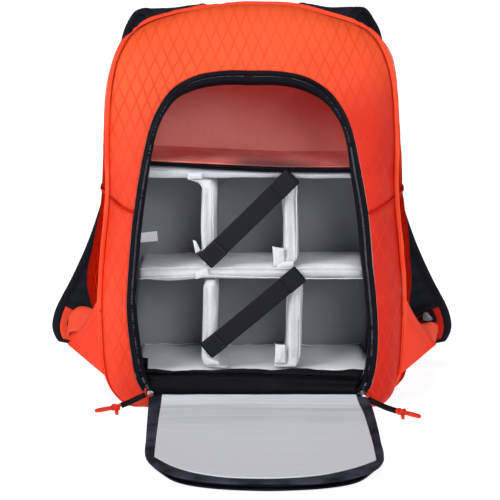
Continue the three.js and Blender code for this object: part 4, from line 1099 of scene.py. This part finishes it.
def inner_face(place, normal):
    """1 for the lining, on the faces that look into the bag."""
    away = Vector((place.x, (place.y - 0.02) * 1.5, place.z - MIDDLE_HEIGHT))
    return 1 if normal.dot(away.normalized()) < -0.1 else 0


skins = {}
for name in FRONTS:
    panel = soft_copy(f"{name}_cloth", [name], ["front", "lining"])
    lay_flat(panel, front_place)
    paint(panel, inner_face)
    reshape(panel, front_folds)
    skins[name] = skin(panel)
for name in SIDES:
    panel = soft_copy(f"{name}_cloth", [name], ["side", "lining"])
    lay_flat(panel, round_place)
    paint(panel, inner_face)
    reshape(panel, side_folds)
    skins[name] = skin(panel)


def nearest_skin(line, names, height):
    """The line laid on whichever of the panels is nearest at each point."""
    laid, ups = [], []
    for point in line:
        found = min((skins[name].find_nearest(point) for name in names), key=lambda hit: hit[3])
        out = Vector((point.x * 0.6, -abs(point.y - 0.1), (point.z - MIDDLE_HEIGHT) * 0.6))
        normal = found[1] if found[1].dot(out) > 0 else -found[1]
        laid.append(found[0] + normal * height)
        ups.append(normal)
    return laid, ups


def softened(values, reach):
    """Directions averaged with their neighbours along a line."""
    count = len(values)
    return [
        sum((values[min(max(i + k, 0), count - 1)] for k in range(-reach, reach + 1)), Vector()).normalized()
        for i in range(count)
    ]


_, front_ups = nearest_skin(seam_line, FRONTS, 0)
_, side_ups = nearest_skin(seam_line, SIDES, 0)
seam_ups = softened([(a + b).normalized() for a, b in zip(front_ups, side_ups)], 4)
STRIP_WIDE = 0.005  # the turned edge of the side panels beside the front seam
STRIP_THICK = 0.001


def strip_section():
    return [(a + STRIP_WIDE / 2 + 0.0004, u) for a, u in band_section(STRIP_WIDE, STRIP_THICK, 0.0005)]


strip_ups = softened(side_ups, 4)
strip_line = [p + u * (0.0001 + 0.0003 * ripple(p, 0.012)) for p, u in zip(seam_line, strip_ups)]
sides_only = [i for i, p in enumerate(seam_line) if p.z > 0.01]
sweep("seam_strip", [strip_line[i] for i in sides_only], [strip_ups[i] for i in sides_only], strip_section(),
      ["strip"], scale=lambda share: min(share, 1 - share, 0.06) / 0.06 * 0.9 + 0.1)
# A thin dark band along the seam: painted shade of its groove.
groove = [p + u * 0.0001 for p, u in zip(seam_line, seam_ups)]
sweep("seam_groove_shade", groove, seam_ups, band_section(0.0017, 0.0008), ["seam"], closed=True)
for offset, name in ((0.0055, "front"), (-0.0058, "side")):
    inward = [Vector((-p.x, 0, MIDDLE_HEIGHT - p.z)).normalized() for p in seam_line]
    if offset > 0:
        line = [p + w * offset for p, w in zip(seam_line, inward)]
        line, ups = nearest_skin(line, FRONTS, 0.0002)
    else:
        line = [seam_line[i] + Vector((0, -offset, 0)) for i in sides_only]
        line, ups = nearest_skin(line, SIDES, 0.0002)
    stitches(f"seam_stitches_{name}", line, ups, 0.004, 0.002, 0.0007, "thread")


for side, sign in (("left", -1), ("right", 1)):
    crossing = meeting(["front_panel_upper"], ["front_panel_lower"], lambda p: sign * p.x)
    front_part = [p for p in crossing if sign * p.x > 0]
    side_part = meeting(["side_upper"], [f"side_lower_{side}"], lambda p: p.y)
    for part, points, panels in (("front", front_part, FRONTS), ("side", side_part, SIDES)):
        line, ups = nearest_skin(evenly(points, 0.0015), panels, 0.0001)
        sweep(f"cross_seam_{part}_{side}", line, softened(ups, 2), band_section(0.0034, 0.0016, 0.0003),
              ["seam"])
        below = [p - Vector((0, 0, 0.0045)) for p in line]
        below, ups = nearest_skin(below, panels, 0.0002)
        stitches(f"cross_stitches_{part}_{side}", below, ups, 0.003, 0.0015, 0.0006, "thread")

base = soft_copy("base_cloth", ["base_panel"], ["front", "lining"])
lay_flat(base, lambda place, normal: (place.x, place.y))
back = soft_copy("back_mesh_pad", ["back_pad"], ["mesh"], levels=3)
soft_copy("back_lining_cloth", ["back_lining"], ["lining"], levels=3)

# Opening: zip tape, coil, facing and sill

tape = soft_copy("opening_tape", ["zip_tape_body"], ["tape"])
reshape(tape, edging_pull)


def teeth(name, line, ups, pitch, wide, thick, material):
    """The turns of a zip's coil: short bars across a line."""
    mesh = bmesh.new()
    step = (line[1] - line[0]).length
    every = max(round(pitch / step), 1)
    for index in range(0, len(line) - 1, every):
        run = (line[index + 1] - line[index]).normalized()
        side = run.cross(ups[index]).normalized()
        rise = side.cross(run).normalized()
        rows = []
        for share, size in ((-1, 0.4), (-0.8, 1), (0.8, 1), (1, 0.4)):
            middle = line[index] + side * (wide / 2 * share)
            rows.append([
                mesh.verts.new(middle + (run * math.cos(t) + rise * math.sin(t)) * thick / 2 * size)
                for t in (0.0, 1.0472, 2.0944, 3.1416, 4.1888, 5.236)
            ])
        for here, there in zip(rows, rows[1:]):
            for k in range(6):
                mesh.faces.new([here[k], here[(k + 1) % 6], there[(k + 1) % 6], there[k]])
        mesh.faces.new(rows[0][::-1])
        mesh.faces.new(rows[-1])
    bmesh.ops.recalc_face_normals(mesh, faces=mesh.faces)
    data = bpy.data.meshes.new(name)
    mesh.to_mesh(data)
    mesh.free()
    return finish_piece(name, data, [material])


COIL_HIGH = 0.0008
tape_skin = skin(tape)
coil_line = evenly(rim(["zip_tape_body"], BAG_CENTRE, FRONT_VIEW, innermost=True), 0.00075)
coil_line = [p + edging_pull(p) for p in coil_line]
inner_line, inner_ups = on_skin(coil_line, tape_skin, 0.0005)
coil_ups = softened([Vector((0, -1, 0)) if u.y > -0.2 else u for u in inner_ups], 3)
bed_line = [p - u * 0.0004 for p, u in zip(inner_line, coil_ups)]
sweep("zip_coil_bed", bed_line, coil_ups, band_section(0.0062, 0.0006), ["facing"])
raised_line = [p + u * COIL_HIGH for p, u in zip(inner_line, coil_ups)]
teeth("zip_coil", raised_line, coil_ups, 0.0015, 0.003, 0.0014, "coil")
tape_line, tape_ups = on_skin([p + edging_pull(p) for p in evenly(opening_line, 0.001)], tape_skin, 0.0002)
inward = [Vector((-p.x, 0, BAG_CENTRE[1] - p.z)).normalized() for p in tape_line]
tape_line, tape_ups = on_skin([p + w * 0.0014 for p, w in zip(tape_line, inward)], tape_skin, 0.0002)
stitches("tape_stitches", tape_line, tape_ups, 0.003, 0.0015, 0.0005, "dark_thread")
facing = soft_copy("opening_binding", ["opening_facing"], ["facing"])
reshape(facing, edging_pull)

SILL_PATH = ((0, -0.0806, 0.0148), (0, -0.0756, 0.0247), (0, -0.0688, 0.0326), (0, -0.0618, 0.0378))
SILL_LOW_HALF = 0.1085
SILL_HIGH_HALF = 0.1195


def sill_place(across, up):
    """The black sill: wider at the top, with a rolled fold along it and a wavy upper edge."""
    side = 2 * across - 1
    place = along_line(SILL_PATH, up)
    place.x = side * (SILL_LOW_HALF + (SILL_HIGH_HALF - SILL_LOW_HALF) * up) + 0.002
    middle = 0.5 + 0.12 * ripple((place.x, 0, 0), 0.06, 2) - 0.12 * side
    roll = 0.0028 * bump_at(up, middle, 0.13) - 0.0022 * bump_at(up, middle + 0.28, 0.1)
    wave = ripple((place.x, 0, 0), 0.035, 4)
    place += Vector((0, -0.85, 0.5)) * (roll + 0.0008 * wave * up)
    place.z += (0.0022 * wave + 0.0008 * ripple((place.x, 0, 0), 0.012, 6)) * up ** 3
    return place


sill = sheet("opening_sill_cloth", sill_place, 96, 24, 0.0012, ["nylon"])
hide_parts("opening_sill")

# Insert

PAD_EDGE = 0.003  # bevel of a pad's edges
PAD_CELL = 0.004
cover = boxy_copy("insert_cover_cloth", ["insert_cover"], ["cover"], 0.0006, 0.0016)
pads = []
for name, finish in (("floor", "fleece"), ("top", "fleece"), ("left", "wall"), ("right", "wall")):
    pads.append(boxy_copy(f"insert_{name}_fleece", [f"insert_{name}_pad"], [finish],
                          PAD_EDGE, PAD_CELL))
pads.append(boxy_copy("insert_back_fleece", ["insert_back_pad"], ["wall"],
                      PAD_EDGE, PAD_CELL))
for name in ("divider_shelf", "divider_upper_left", "divider_upper_right", "divider_lower_left",
             "divider_lower_right"):
    pads.append(boxy_copy(f"{name}_fleece", [name], ["fleece"], PAD_EDGE, PAD_CELL))


def lifted(place):
    """How much higher the top of the insert stands towards the left."""
    share = min(max((0.03 - place.x) / 0.14, 0), 1)
    return Vector((0, 0, 0.0068 * share * min(max((place.z - 0.2463) / 0.009, 0), 1)))


def pad_slack(place):
    """Soft unevenness of the fleece pads, which swell up at the back of the floor."""
    shift = Vector((ripple(place, 0.04, 2), ripple(place, 0.05, 5) * 0.5, ripple(place, 0.045, 9))) * 0.0012
    shift += lifted(place)
    if place.z > 0.25:
        shift.z -= 0.0022
    if 0.034 < place.z < 0.04 and abs(place.x) < 0.125:
        share = min(max((place.y + 0.035) / 0.065, 0), 1)
        shift.z += 0.0085 * share * share * (3 - 2 * share) + 0.0012 * ripple(place, 0.022, 3) * share
    return shift


SIDE_PAD_THIN = 0.8  # share of the side pads' thickness that the edging hides


def thinner(place):
    """Draws a side pad's inner face outwards."""
    outer = math.copysign(0.132, place.x)
    return Vector(((outer - place.x) * SIDE_PAD_THIN, 0, 0))


reshape(cover, lifted)
for pad in pads[2:4]:
    reshape(pad, thinner)
for pad in pads:
    reshape(pad, pad_slack)
puff(pads, cap=0.0012, shrink=0.0006)

PAD_FRONT = -0.0612  # just before the front faces of the dividers


def pad_seam(name, points, wide=0.0013):
    """A sewn ridge of fleece cloth on the front of a pad."""
    line = evenly([(x, PAD_FRONT + 0.0006, z) for x, z in points], 0.002)
    line = [p + Vector((ripple(p, 0.012, 4), 0, ripple(p, 0.012, 7))) * 0.0005 for p in line]
    sweep(name, line, [Vector((0, -1, 0))] * len(line), band_section(wide, 0.0009, 0.0002), ["fleece"])


PAD_SEAMS = {
    "shelf_low": [(-0.121, 0.1372), (-0.06, 0.1402), (-0.05, 0.1405), (0.06, 0.1378), (0.12, 0.1378)],
    "shelf_high": [(-0.121, 0.1482), (-0.06, 0.1492), (0.03, 0.1486), (0.12, 0.1488)],
    "upper_right_left": [(0.0392, 0.24), (0.0388, 0.21), (0.0398, 0.18), (0.0402, 0.158)],
    "upper_right_right": [(0.0476, 0.244), (0.0478, 0.21), (0.0482, 0.18), (0.0474, 0.158)],
    "upper_left_left": [(-0.0502, 0.236), (-0.0502, 0.2), (-0.0492, 0.16)],
    "upper_left_right": [(-0.042, 0.24), (-0.0418, 0.2), (-0.0412, 0.165)],
    "lower_left_left": [(-0.0512, 0.128), (-0.0516, 0.09), (-0.0512, 0.056)],
    "lower_left_right": [(-0.0436, 0.131), (-0.0432, 0.09), (-0.0436, 0.052)],
    "lower_right_left": [(0.0436, 0.12), (0.0434, 0.09), (0.0436, 0.052)],
    "lower_right_right": [(0.0516, 0.126), (0.0518, 0.09), (0.0514, 0.05)],
}
for name, points in PAD_SEAMS.items():
    pad_seam(f"pad_seam_{name}", points)


def tab(name, corners_round, bulge=0.0015):
    """A small tab of fleece cloth between four corners, low left first and then round."""
    first, second, third, fourth = (Vector((x, PAD_FRONT, z)) for x, z in corners_round)

    def place(across, up):
        low, high = first.lerp(second, across), fourth.lerp(third, across)
        rounded = 4 * across * (1 - across) * 4 * up * (1 - up)
        spot = low.lerp(high, up)
        return spot - Vector((0, bulge * rounded + 0.0006 * ripple(spot, 0.006), 0))

    return sheet(name, place, 10, 14, 0.0014, ["fleece"])


TABS = {
    "pointed": [(-0.0606, 0.1655), (-0.0548, 0.168), (-0.0602, 0.1788), (-0.0636, 0.1795)],
    "junction": [(-0.0602, 0.137), (-0.0458, 0.1408), (-0.0478, 0.1505), (-0.0618, 0.1446)],
    "right": [(0.0232, 0.1505), (0.0352, 0.1545), (0.0345, 0.1705), (0.0218, 0.1728)],
    "right_low": [(0.0262, 0.1488), (0.0452, 0.1496), (0.0452, 0.157), (0.0266, 0.1556)],
    "lower_left": [(-0.0496, 0.0432), (-0.0352, 0.0412), (-0.0352, 0.0462), (-0.0516, 0.0528)],
    "lower_right": [(0.0246, 0.0442), (0.0368, 0.0446), (0.036, 0.0648), (0.0252, 0.0655)],
    "upper_left": [(-0.0688, 0.2452), (-0.0532, 0.2462), (-0.0528, 0.2524), (-0.0692, 0.2532)],
}
for name, corners_round in TABS.items():
    tab(f"divider_tab_{name}", corners_round)

# The cover's piping, in two rows along its front edge
COVER_PIPING = [
    (-0.124, 0.2656), (-0.1088, 0.2648), (-0.0662, 0.2624), (-0.0128, 0.2592), (0.0512, 0.2576),
    (0.1067, 0.2566), (0.124, 0.2563),
]
for row, drop, thick in (("upper", 0.001, 0.0022), ("lower", 0.0033, 0.0026)):
    line = evenly([(x, PAD_FRONT - 0.0006, z - drop) for x, z in COVER_PIPING], 0.002)
    line = [p + Vector((0, 0, ripple(p, 0.03, 3) * 0.0006)) for p in line]
    sweep(f"cover_piping_{row}", line, [Vector((0, -1, 0))] * len(line), round_section(thick), ["nylon"])

# The red lining's slack, which lies over the insert's top as far as its piping
SLACK_FRONT = -0.0585
SLACK_BACK = 0.0534


def slack_place(across, up):
    """From the piping back and up to the lining."""
    x = -0.131 + 0.262 * across
    front_high = 0.2578 + lifted(Vector((x, 0, 0.256))).z
    y = SLACK_FRONT + (SLACK_BACK - SLACK_FRONT) * up
    z = front_high + 0.001 + 0.002 * up
    z += 0.0018 * ripple((x, y * 1.6, 0), 0.05, 4) * up * (1 - up) * 4
    z += 0.003 * bump_at(x, 0.008, 0.03) * (1 - up) * up
    return Vector((x, y, z))


sheet("lining_slack", slack_place, 70, 30, 0.0008, ["slack"])

# The floor pad's hem, across and up, along its front edge
FLOOR_HEM = [
    (-0.12, 0.0452), (-0.08, 0.0462), (-0.03, 0.0448), (0.03, 0.0452), (0.08, 0.0448), (0.12, 0.0466),
]
line = evenly([(x, 0.0315, z) for x, z in FLOOR_HEM], 0.002)
line = [p + Vector((0, 0, ripple(p, 0.014, 3) * 0.0014)) for p in line]
sweep("floor_pad_hem", line, [Vector((0, -1, 0))] * len(line), band_section(0.0016, 0.001), ["fleece"])


def strap_axes(node):
    """Middle, run, width and outward directions of a flat strap, with its half length and half width."""
    places = cad_corners([node])
    middle = sum(places, Vector()) / len(places)
    offsets = np.array([list(p - middle) for p in places])
    _, _, turns = np.linalg.svd(offsets)
    run, across, out = (Vector(turn) for turn in turns)
    run = run if run.z > 0 else -run
    across = across if across.x > 0 else -across
    out = out if out.y < 0 else -out
    reach = [max(abs(Vector(o).dot(axis)) for o in offsets) for axis in (run, across, out)]
    return middle, run, across, out, reach


KEEPER_PATCH = {"upper": (0.024, 0.024), "lower": (0.02, 0.02)}  # sewn ends, low and high
for name in ("upper", "lower"):
    keeper = soft_copy(f"keeper_{name}_webbing", [f"keeper_strap_{name}"], ["twill"],
                       levels=3)
    middle, run, across, out, (half_long, half_wide, half_thick) = strap_axes(f"keeper_strap_{name}")
    face = skin(keeper)
    for sign, length in zip((-1, 1), KEEPER_PATCH[name]):
        end = middle + run * sign * (half_long - 0.0012)
        inner = end - run * sign * length

        def doubled(u, v):
            spot = end.lerp(inner, v) + across * (2 * u - 1) * half_wide * 1.04
            near, normal, _, _ = face.find_nearest(spot + out * 0.01)
            return Vector((spot.x, near.y - 0.0009, spot.z))

        which = "high" if sign > 0 else "low"
        sheet(f"keeper_{name}_end_{which}", doubled, 12, 16, 0.0008, ["twill"])
        box = [(-1, 0.0018), (1, 0.0018), (1, length - 0.002), (-1, length - 0.002), (-1, 0.0018)]
        ring = [end + across * a * (half_wide - 0.0016) - run * sign * b for a, b in box]
        for index, (one, two) in enumerate(zip(ring, ring[1:])):
            line = [one.lerp(two, k / 24) for k in range(25)]
            line = [Vector((p.x, face.find_nearest(p + out * 0.01)[0].y - 0.0011, p.z)) for p in line]
            stitches(f"keeper_{name}_stitches_{sign}_{index}", line, [out] * len(line), 0.0022, 0.001,
                     0.0005, "pale_thread")

LABEL = [(-0.1275, 0.1683), (-0.1026, 0.1707), (-0.1036, 0.1818), (-0.1275, 0.1791)]  # across and up
LABEL_DEEP = -0.0145
BLACK_CORNER = [(-0.124, 0.036), (-0.1128, 0.0382), (-0.1122, 0.0502), (-0.124, 0.0528)]
CORNER_DEEP = -0.0625


def flat_patch(name, corners_round, deep, wave, thick, materials):
    """A small cloth between four corners that all lie at one depth."""
    first, second, third, fourth = (Vector((x, deep, z)) for x, z in corners_round)

    def place(across, up):
        spot = first.lerp(second, across).lerp(fourth.lerp(third, across), up)
        spot.y -= wave * (1 + ripple(spot, 0.008, 3)) * 4 * up * (1 - up)
        return spot

    return sheet(name, place, 16, 10, thick, materials)


label = flat_patch("care_label_ribbon", LABEL, LABEL_DEEP, 0.0004, 0.0006, ["label"])
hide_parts("care_label")
flat_patch("cover_corner_left", BLACK_CORNER, CORNER_DEEP, 0.002, 0.001, ["nylon"])

# Flap

FLAP_MIDDLE = (0.012, -0.25)
FLAP_HALF = (0.1, 0.14)


def flap_inside(place):
    """True away from the flap's edge."""
    return abs(place.x - FLAP_MIDDLE[0]) < FLAP_HALF[0] and abs(place.y - FLAP_MIDDLE[1]) < FLAP_HALF[1]


flap_shell = soft_copy("flap_outside", ["flap_shell"], ["front", "tape"])
lay_flat(flap_shell, lambda place, normal: (place.x, place.y))
paint(flap_shell, lambda place, normal: 0 if normal.z < -0.6 and flap_inside(place) else 1)
soft_copy("flap_edge", ["flap_rim"], ["tape"])

# Outline of the flap's lining, from the hinge to its pointed near corners
LINING_HINGE = [(-0.0965, -0.0885), (0.0, -0.0885), (0.1118, -0.0885)]
LINING_LEFT = [(-0.0965, -0.0885), (-0.0968, -0.15), (-0.0966, -0.22), (-0.0962, -0.285), (-0.0955, -0.333)]
LINING_RIGHT = [(0.1118, -0.0885), (0.1166, -0.15), (0.1188, -0.22), (0.1202, -0.29), (0.1204, -0.347)]
LINING_NEAR = [(-0.0955, -0.333), (-0.078, -0.3665), (-0.0594, -0.389), (-0.0395, -0.403), (-0.0163, -0.4118),
               (0.0238, -0.415), (0.0642, -0.4037), (0.0987, -0.3752), (0.1204, -0.347)]
LINING_HIGH = 0.0108
LINING_RISE = 0.0046  # how much higher it lies at the hinge


def curve_at(points, share):
    """The place at a share of a smooth line through points."""
    at = share * (len(points) - 1)
    index = min(int(at), len(points) - 2)
    a, b, c, d = (np.array(points[min(max(index + k, 0), len(points) - 1)]) for k in (-1, 0, 1, 2))
    t = at - index
    square = 2 * a - 5 * b + 4 * c - d
    cube = 3 * b - 3 * c + d - a
    return 0.5 * (2 * b + (c - a) * t + square * t * t + cube * t ** 3)


def lining_place(across, near):
    """A patch that fills the outline, with faint wrinkles across near the hinge."""
    sides = curve_at(LINING_LEFT, near) * (1 - across) + curve_at(LINING_RIGHT, near) * across
    ends = curve_at(LINING_HINGE, across) * (1 - near) + curve_at(LINING_NEAR, across) * near
    low = np.array(LINING_LEFT[0]) * (1 - across) + np.array(LINING_RIGHT[0]) * across
    high = np.array(LINING_LEFT[-1]) * (1 - across) + np.array(LINING_RIGHT[-1]) * across
    x, y = sides + ends - low * (1 - near) - high * near
    wrinkle = ripple((x * 0.25, y, 0), 0.007, 5) * 0.00035 * max(1 - near * 2.2, 0)
    sag = ripple((x, y, 0), 0.09, 2) * 0.0006
    rise = min(max((y + 0.125) / 0.0365, 0), 1)
    return Vector((x, y, LINING_HIGH + wrinkle + sag * (1 - rise) + LINING_RISE * rise * rise))


flap_lining = sheet("flap_inside", lining_place, 90, 110, 0.0012, ["satin"])
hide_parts("flap_lining")
for side, across in (("left", 0.012), ("right", 0.988)):
    line = [lining_place(across, k / 120) + Vector((0, 0, 0.0002)) for k in range(121)]
    stitches(f"lining_stitches_{side}", line, [Vector((0, 0, 1))] * len(line), 0.003, 0.0015, 0.0005,
             "label")
soft_copy("flap_tape", ["flap_zip_tape"], ["tape"])
soft_copy("flap_hinge_cloth", ["flap_hinge"], ["binding"])
lining_edge = [lining_place(k / 100, 0.004) + Vector((0, 0.0004, 0.0003)) for k in range(101)]
sweep("lining_seam", lining_edge, [Vector((0, -0.5, 0.85))] * len(lining_edge), band_section(0.0016, 0.001),
      ["tape"])

# The flap's black zip tape, from under the lining out to its edge: each row holds an inner and an outer place
FLAP_BAND = [
    (-0.0948, -0.09, 0.0143, -0.1105, -0.0905, 0.0125), (-0.0955, -0.12, 0.0098, -0.11, -0.12, 0.0085),
    (-0.0955, -0.2129, 0.0098, -0.1078, -0.2129, 0.008), (-0.095, -0.285, 0.0098, -0.1055, -0.2963, 0.008),
    (-0.0935, -0.33, 0.0098, -0.1035, -0.325, 0.008), (-0.085, -0.35, 0.0098, -0.0965, -0.357, 0.008),
    (-0.059, -0.384, 0.0098, -0.0745, -0.396, 0.0078), (-0.016, -0.406, 0.0098, -0.031, -0.4215, 0.0078),
    (0.024, -0.41, 0.0098, 0.018, -0.4245, 0.0078), (0.064, -0.399, 0.0098, 0.0655, -0.4215, 0.0078),
    (0.098, -0.371, 0.0098, 0.1085, -0.3905, 0.0078), (0.1185, -0.343, 0.0098, 0.1265, -0.348, 0.008),
    (0.119, -0.29, 0.0098, 0.1285, -0.29, 0.008), (0.1175, -0.2129, 0.0098, 0.1288, -0.2129, 0.008),
    (0.1145, -0.13, 0.0098, 0.1275, -0.125, 0.0085), (0.11, -0.09, 0.0143, 0.124, -0.0905, 0.0125),
]
band_rows = between(FLAP_BAND, 12)


def band_place(along, out):
    row = band_rows[round(along * (len(band_rows) - 1))]
    place = Vector(row[0:3]).lerp(Vector(row[3:6]), out)
    place.z += 0.0012 * bump_at(out, 0.7, 0.2) + 0.0003 * ripple(place, 0.02, 5)
    return place


sheet("flap_band", band_place, len(band_rows) - 1, 12, 0.001, ["flap_tape"])

# Shoulder straps, wings and webbing

STRAP_TOP = {"left": (-0.0714, 0.0815, 0.3397), "right": (0.0714, 0.0815, 0.3397)}
STRAP_BINDING = 0.008  # how far the tape reaches in from a strap's edges
STRAP_SEAM = 0.0112  # how far in the line of stitches runs
STRAP_PROFILE = ((0, 0), (0.0004, 0.35), (0.0014, 0.62), (0.003, 0.78), (0.006, 0.86), (0.0078, 0.88),
                 (0.0084, 0.8), (0.0105, 0.84), (0.0112, 0.8), (0.0122, 0.88), (0.016, 0.96), (0.022, 1))


def strap_rows(side):
    """A shoulder strap's sections from the top: middle, width and outward directions, and half sizes."""
    rows = []
    before = Vector((1, 0, 0))
    out_before = Vector((0, -1, 0))
    for group in cad_rings(f"shoulder_strap_{side}", STRAP_TOP[side]):
        if len(group) < 8:
            continue
        middle = sum(group, Vector()) / len(group)
        offsets = np.array([list(p - middle) for p in group])
        _, _, turns = np.linalg.svd(offsets)
        across, out = Vector(turns[0]), Vector(turns[1])
        across = across if across.dot(before) > 0 else -across
        out = out if out.dot(out_before) > 0 else -out
        before, out_before = across, out
        half = max(abs(Vector(o).dot(across)) for o in offsets)
        thick = max(abs(Vector(o).dot(out)) for o in offsets)
        rows.append([*middle, *across, *out, half, thick])
    return between(rows, 5)


LOCK_DROP = {"left": -0.007, "right": -0.002}  # shift up of each strap's lock

# How far the crest of a strap is lifted, by the place across
STRAP_CREST = {
    "left": [
        (-0.145, -0.002), (-0.132, 0.001), (-0.12, 0.0035), (-0.09, 0.004), (-0.075, 0.002),
        (-0.06, -0.0015), (-0.045, -0.004),
    ],
    "right": [
        (0.045, -0.004), (0.06, 0.0), (0.087, 0.0045), (0.112, 0.0055), (0.127, 0.004), (0.138, -0.002),
    ],
}


def strap_crest(place, side):
    """Lifts the crest of a shoulder strap so that it shows above the bag."""
    high = min(max((place.z - 0.38) / 0.02, 0), 1)
    return Vector((0, 0, read_off(STRAP_CREST[side], place.x) * high))


PATCH_TOP = (0.1935, 0.0605)  # on the right strap: across and up, where the patch's upper edge shows
PATCH_RUN = (0.46, -0.888)  # down the strap, in the same view


def shorter_patch(place, sign):
    """Draws the patch's upper end down the strap to where it shows."""
    above = -((sign * place.x - PATCH_TOP[0]) * PATCH_RUN[0] + (place.z - PATCH_TOP[1]) * PATCH_RUN[1])
    if above < 0:
        return Vector()
    return Vector((sign * PATCH_RUN[0], 0, PATCH_RUN[1])) * above * 0.93


def strap_section(half, thick):
    """Outline of a strap's section: thick in the middle, with a bound edge and a sewn line by it."""
    squeeze = min(half / 0.022, 1)
    inner = [(half - reach * squeeze, thick * share) for reach, share in STRAP_PROFILE]
    upper = inner + [(-a, u) for a, u in inner[::-1]]
    return upper + [(a, -u) for a, u in upper[::-1][1:-1]]


SEWN_FROM = 0.016  # half width of a strap's row from which its sewn lines run


def sewn_place(row, edge, face):
    """Where a strap's sewn line crosses a row, by its edge and its face."""
    middle, across, out = (Vector(row[k:k + 3]) for k in (0, 3, 6))
    return middle + across * edge * (row[9] - STRAP_SEAM) + out * face * row[10] * 0.86


for side in ("left", "right"):
    rows = strap_rows(side)
    strap = loft(f"strap_{side}_mesh", rows, strap_section, ["mesh", "binding"],
                 lambda a, half: 1 if abs(a) > half - STRAP_BINDING * min(half / 0.022, 1) else 0)
    reshape(strap, lambda place: strap_crest(place, side))
    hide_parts(f"shoulder_strap_{side}")
    sewn_rows = [row for row in rows if row[9] > SEWN_FROM]
    for face in (-1, 1):
        for edge in (-1, 1):
            ups = [Vector(row[6:9]) * face for row in sewn_rows]
            rail = evenly([sewn_place(row, edge, face) for row in sewn_rows], 0.001)
            ups = [Vector(u) for u in np.array(ups)[np.linspace(0, len(ups) - 1, len(rail)).astype(int)]]
            stitches(f"strap_{side}_stitches_{face}_{edge}", rail, ups, 0.003, 0.0015, 0.0006,
                     "dark_thread")
    patch = soft_copy(f"strap_{side}_patch", [f"strap_patch_{side}"],
                      ["patch" if side == "left" else "shaded_patch"], levels=3)
    reshape(patch, lambda place: shorter_patch(place, 1 if place.x > 0 else -1))
    lock = soft_copy(f"strap_{side}_lock", [f"ladder_lock_{side}"], ["lock"], crease=0.8)
    reshape(lock, lambda place: Vector((0, 0, LOCK_DROP[side])))

# Webbing: each row is a line across it, from the wing's edge to the lock and round the curl
WEBBING = {
    "left": [
        (-0.1716, 0.012, 0.0877, -0.1804, 0.006, 0.0635), (-0.183, 0.05, 0.0842, -0.1905, 0.04, 0.0581),
        (-0.1952, 0.08, 0.0788, -0.2016, 0.07, 0.0531), (-0.2045, 0.098, 0.0695, -0.2088, 0.09, 0.0466),
        (-0.2099, 0.1, 0.0621, -0.2084, 0.1, 0.0399), (-0.2055, 0.094, 0.0598, -0.2011, 0.094, 0.0411),
        (-0.1959, 0.088, 0.0598, -0.1938, 0.088, 0.0482),
    ],
    "right": [
        (0.1808, 0.012, 0.0735, 0.2006, 0.006, 0.055), (0.1924, 0.05, 0.0658, 0.2042, 0.04, 0.0467),
        (0.2047, 0.08, 0.0615, 0.2076, 0.07, 0.0404), (0.2124, 0.098, 0.0543, 0.2103, 0.09, 0.0385),
        (0.2119, 0.098, 0.0485, 0.2081, 0.092, 0.0392), (0.2044, 0.09, 0.0525, 0.2031, 0.086, 0.044),
    ],
}
# A small grey plastic piece on the right lock, across and up: partly the lock's grey part and partly a
# painted highlight on the black lock.
LOCK_TONGUE = [(0.1961, 0.0587), (0.2043, 0.0576), (0.2077, 0.0599), (0.2007, 0.0681), (0.1961, 0.0669)]
for side, lines in WEBBING.items():
    fine = between(lines, 8)

    def webbing_place(along, up):
        row = fine[round(along * (len(fine) - 1))]
        return Vector(row[3:6]).lerp(Vector(row[0:3]), up)

    webbing = sheet(f"strap_{side}_webbing", webbing_place, len(fine) - 1, 8, 0.0016, ["pale"])
    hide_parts(f"strap_webbing_{side}")

tongue_mesh = bmesh.new()
faces = [[tongue_mesh.verts.new((x, y, z)) for x, z in LOCK_TONGUE] for y in (0.1035, 0.1065)]
tongue_mesh.faces.new(faces[0])
tongue_mesh.faces.new(faces[1][::-1])
for k in range(len(LOCK_TONGUE)):
    far = (k + 1) % len(LOCK_TONGUE)
    tongue_mesh.faces.new([faces[0][k], faces[0][far], faces[1][far], faces[1][k]])
bmesh.ops.recalc_face_normals(tongue_mesh, faces=tongue_mesh.faces)
bmesh.ops.bevel(tongue_mesh, geom=tongue_mesh.edges[:], offset=0.0008, segments=3, affect="EDGES")
tongue_data = bpy.data.meshes.new("lock_tongue")
tongue_mesh.to_mesh(tongue_data)
tongue_mesh.free()
finish_piece("lock_tongue", tongue_data, ["plastic"])

WING_HEM = 0.0085  # how far in from a wing's free edge its line of stitches runs
WING_FOLD = 0.0015  # and the stitches along its folded edge


def wing_waves(place):
    """Waves in a wing, except where it leaves the seam."""
    return Vector((0, ripple(place, 0.03, 4) * 0.0012, 0)) * min(abs(place.y + 0.07) / 0.02, 1)


for side, sign in (("left", -1), ("right", 1)):
    wing = soft_copy(f"wing_{side}_cloth", [f"side_wing_{side}"], ["wing"], levels=3)
    reshape(wing, wing_waves)
    wing_skin = skin(wing)
    places = cad_corners([f"side_wing_{side}"])
    top = max(places, key=lambda p: p.z)
    tip = max(places, key=lambda p: p.x * sign - p.z * 0.6)
    root = min(places, key=lambda p: p.z)
    edge = tip - top
    inward = Vector((-edge.z * -sign, 0, edge.x * -sign)).normalized()
    inward = inward if inward.dot(root - top) > 0 else -inward
    for name, offset in (("hem", WING_HEM), ("fold", WING_FOLD)):
        line, ups = [], []
        for k in range(61):
            spot = top.lerp(tip, 0.03 + 0.95 * k / 60) + inward * offset
            hit, normal, _, _ = wing_skin.ray_cast(Vector((spot.x, -1, spot.z)), Vector((0, 1, 0)))
            if hit:
                line.append(hit + Vector((0, -0.0002, 0)))
                ups.append(Vector((0, -1, 0)))
        if len(line) > 3:
            stitches(f"wing_{side}_{name}", line, ups, 0.003, 0.0012, 0.0006, "thread")
            if name == "hem":
                # A thin dark band: painted shade of the groove beside the hem's stitches.
                beside = [p + inward * 0.0012 for p in line]
                sweep(f"wing_{side}_groove", beside, ups, band_section(0.0011, 0.0005), ["seam"])
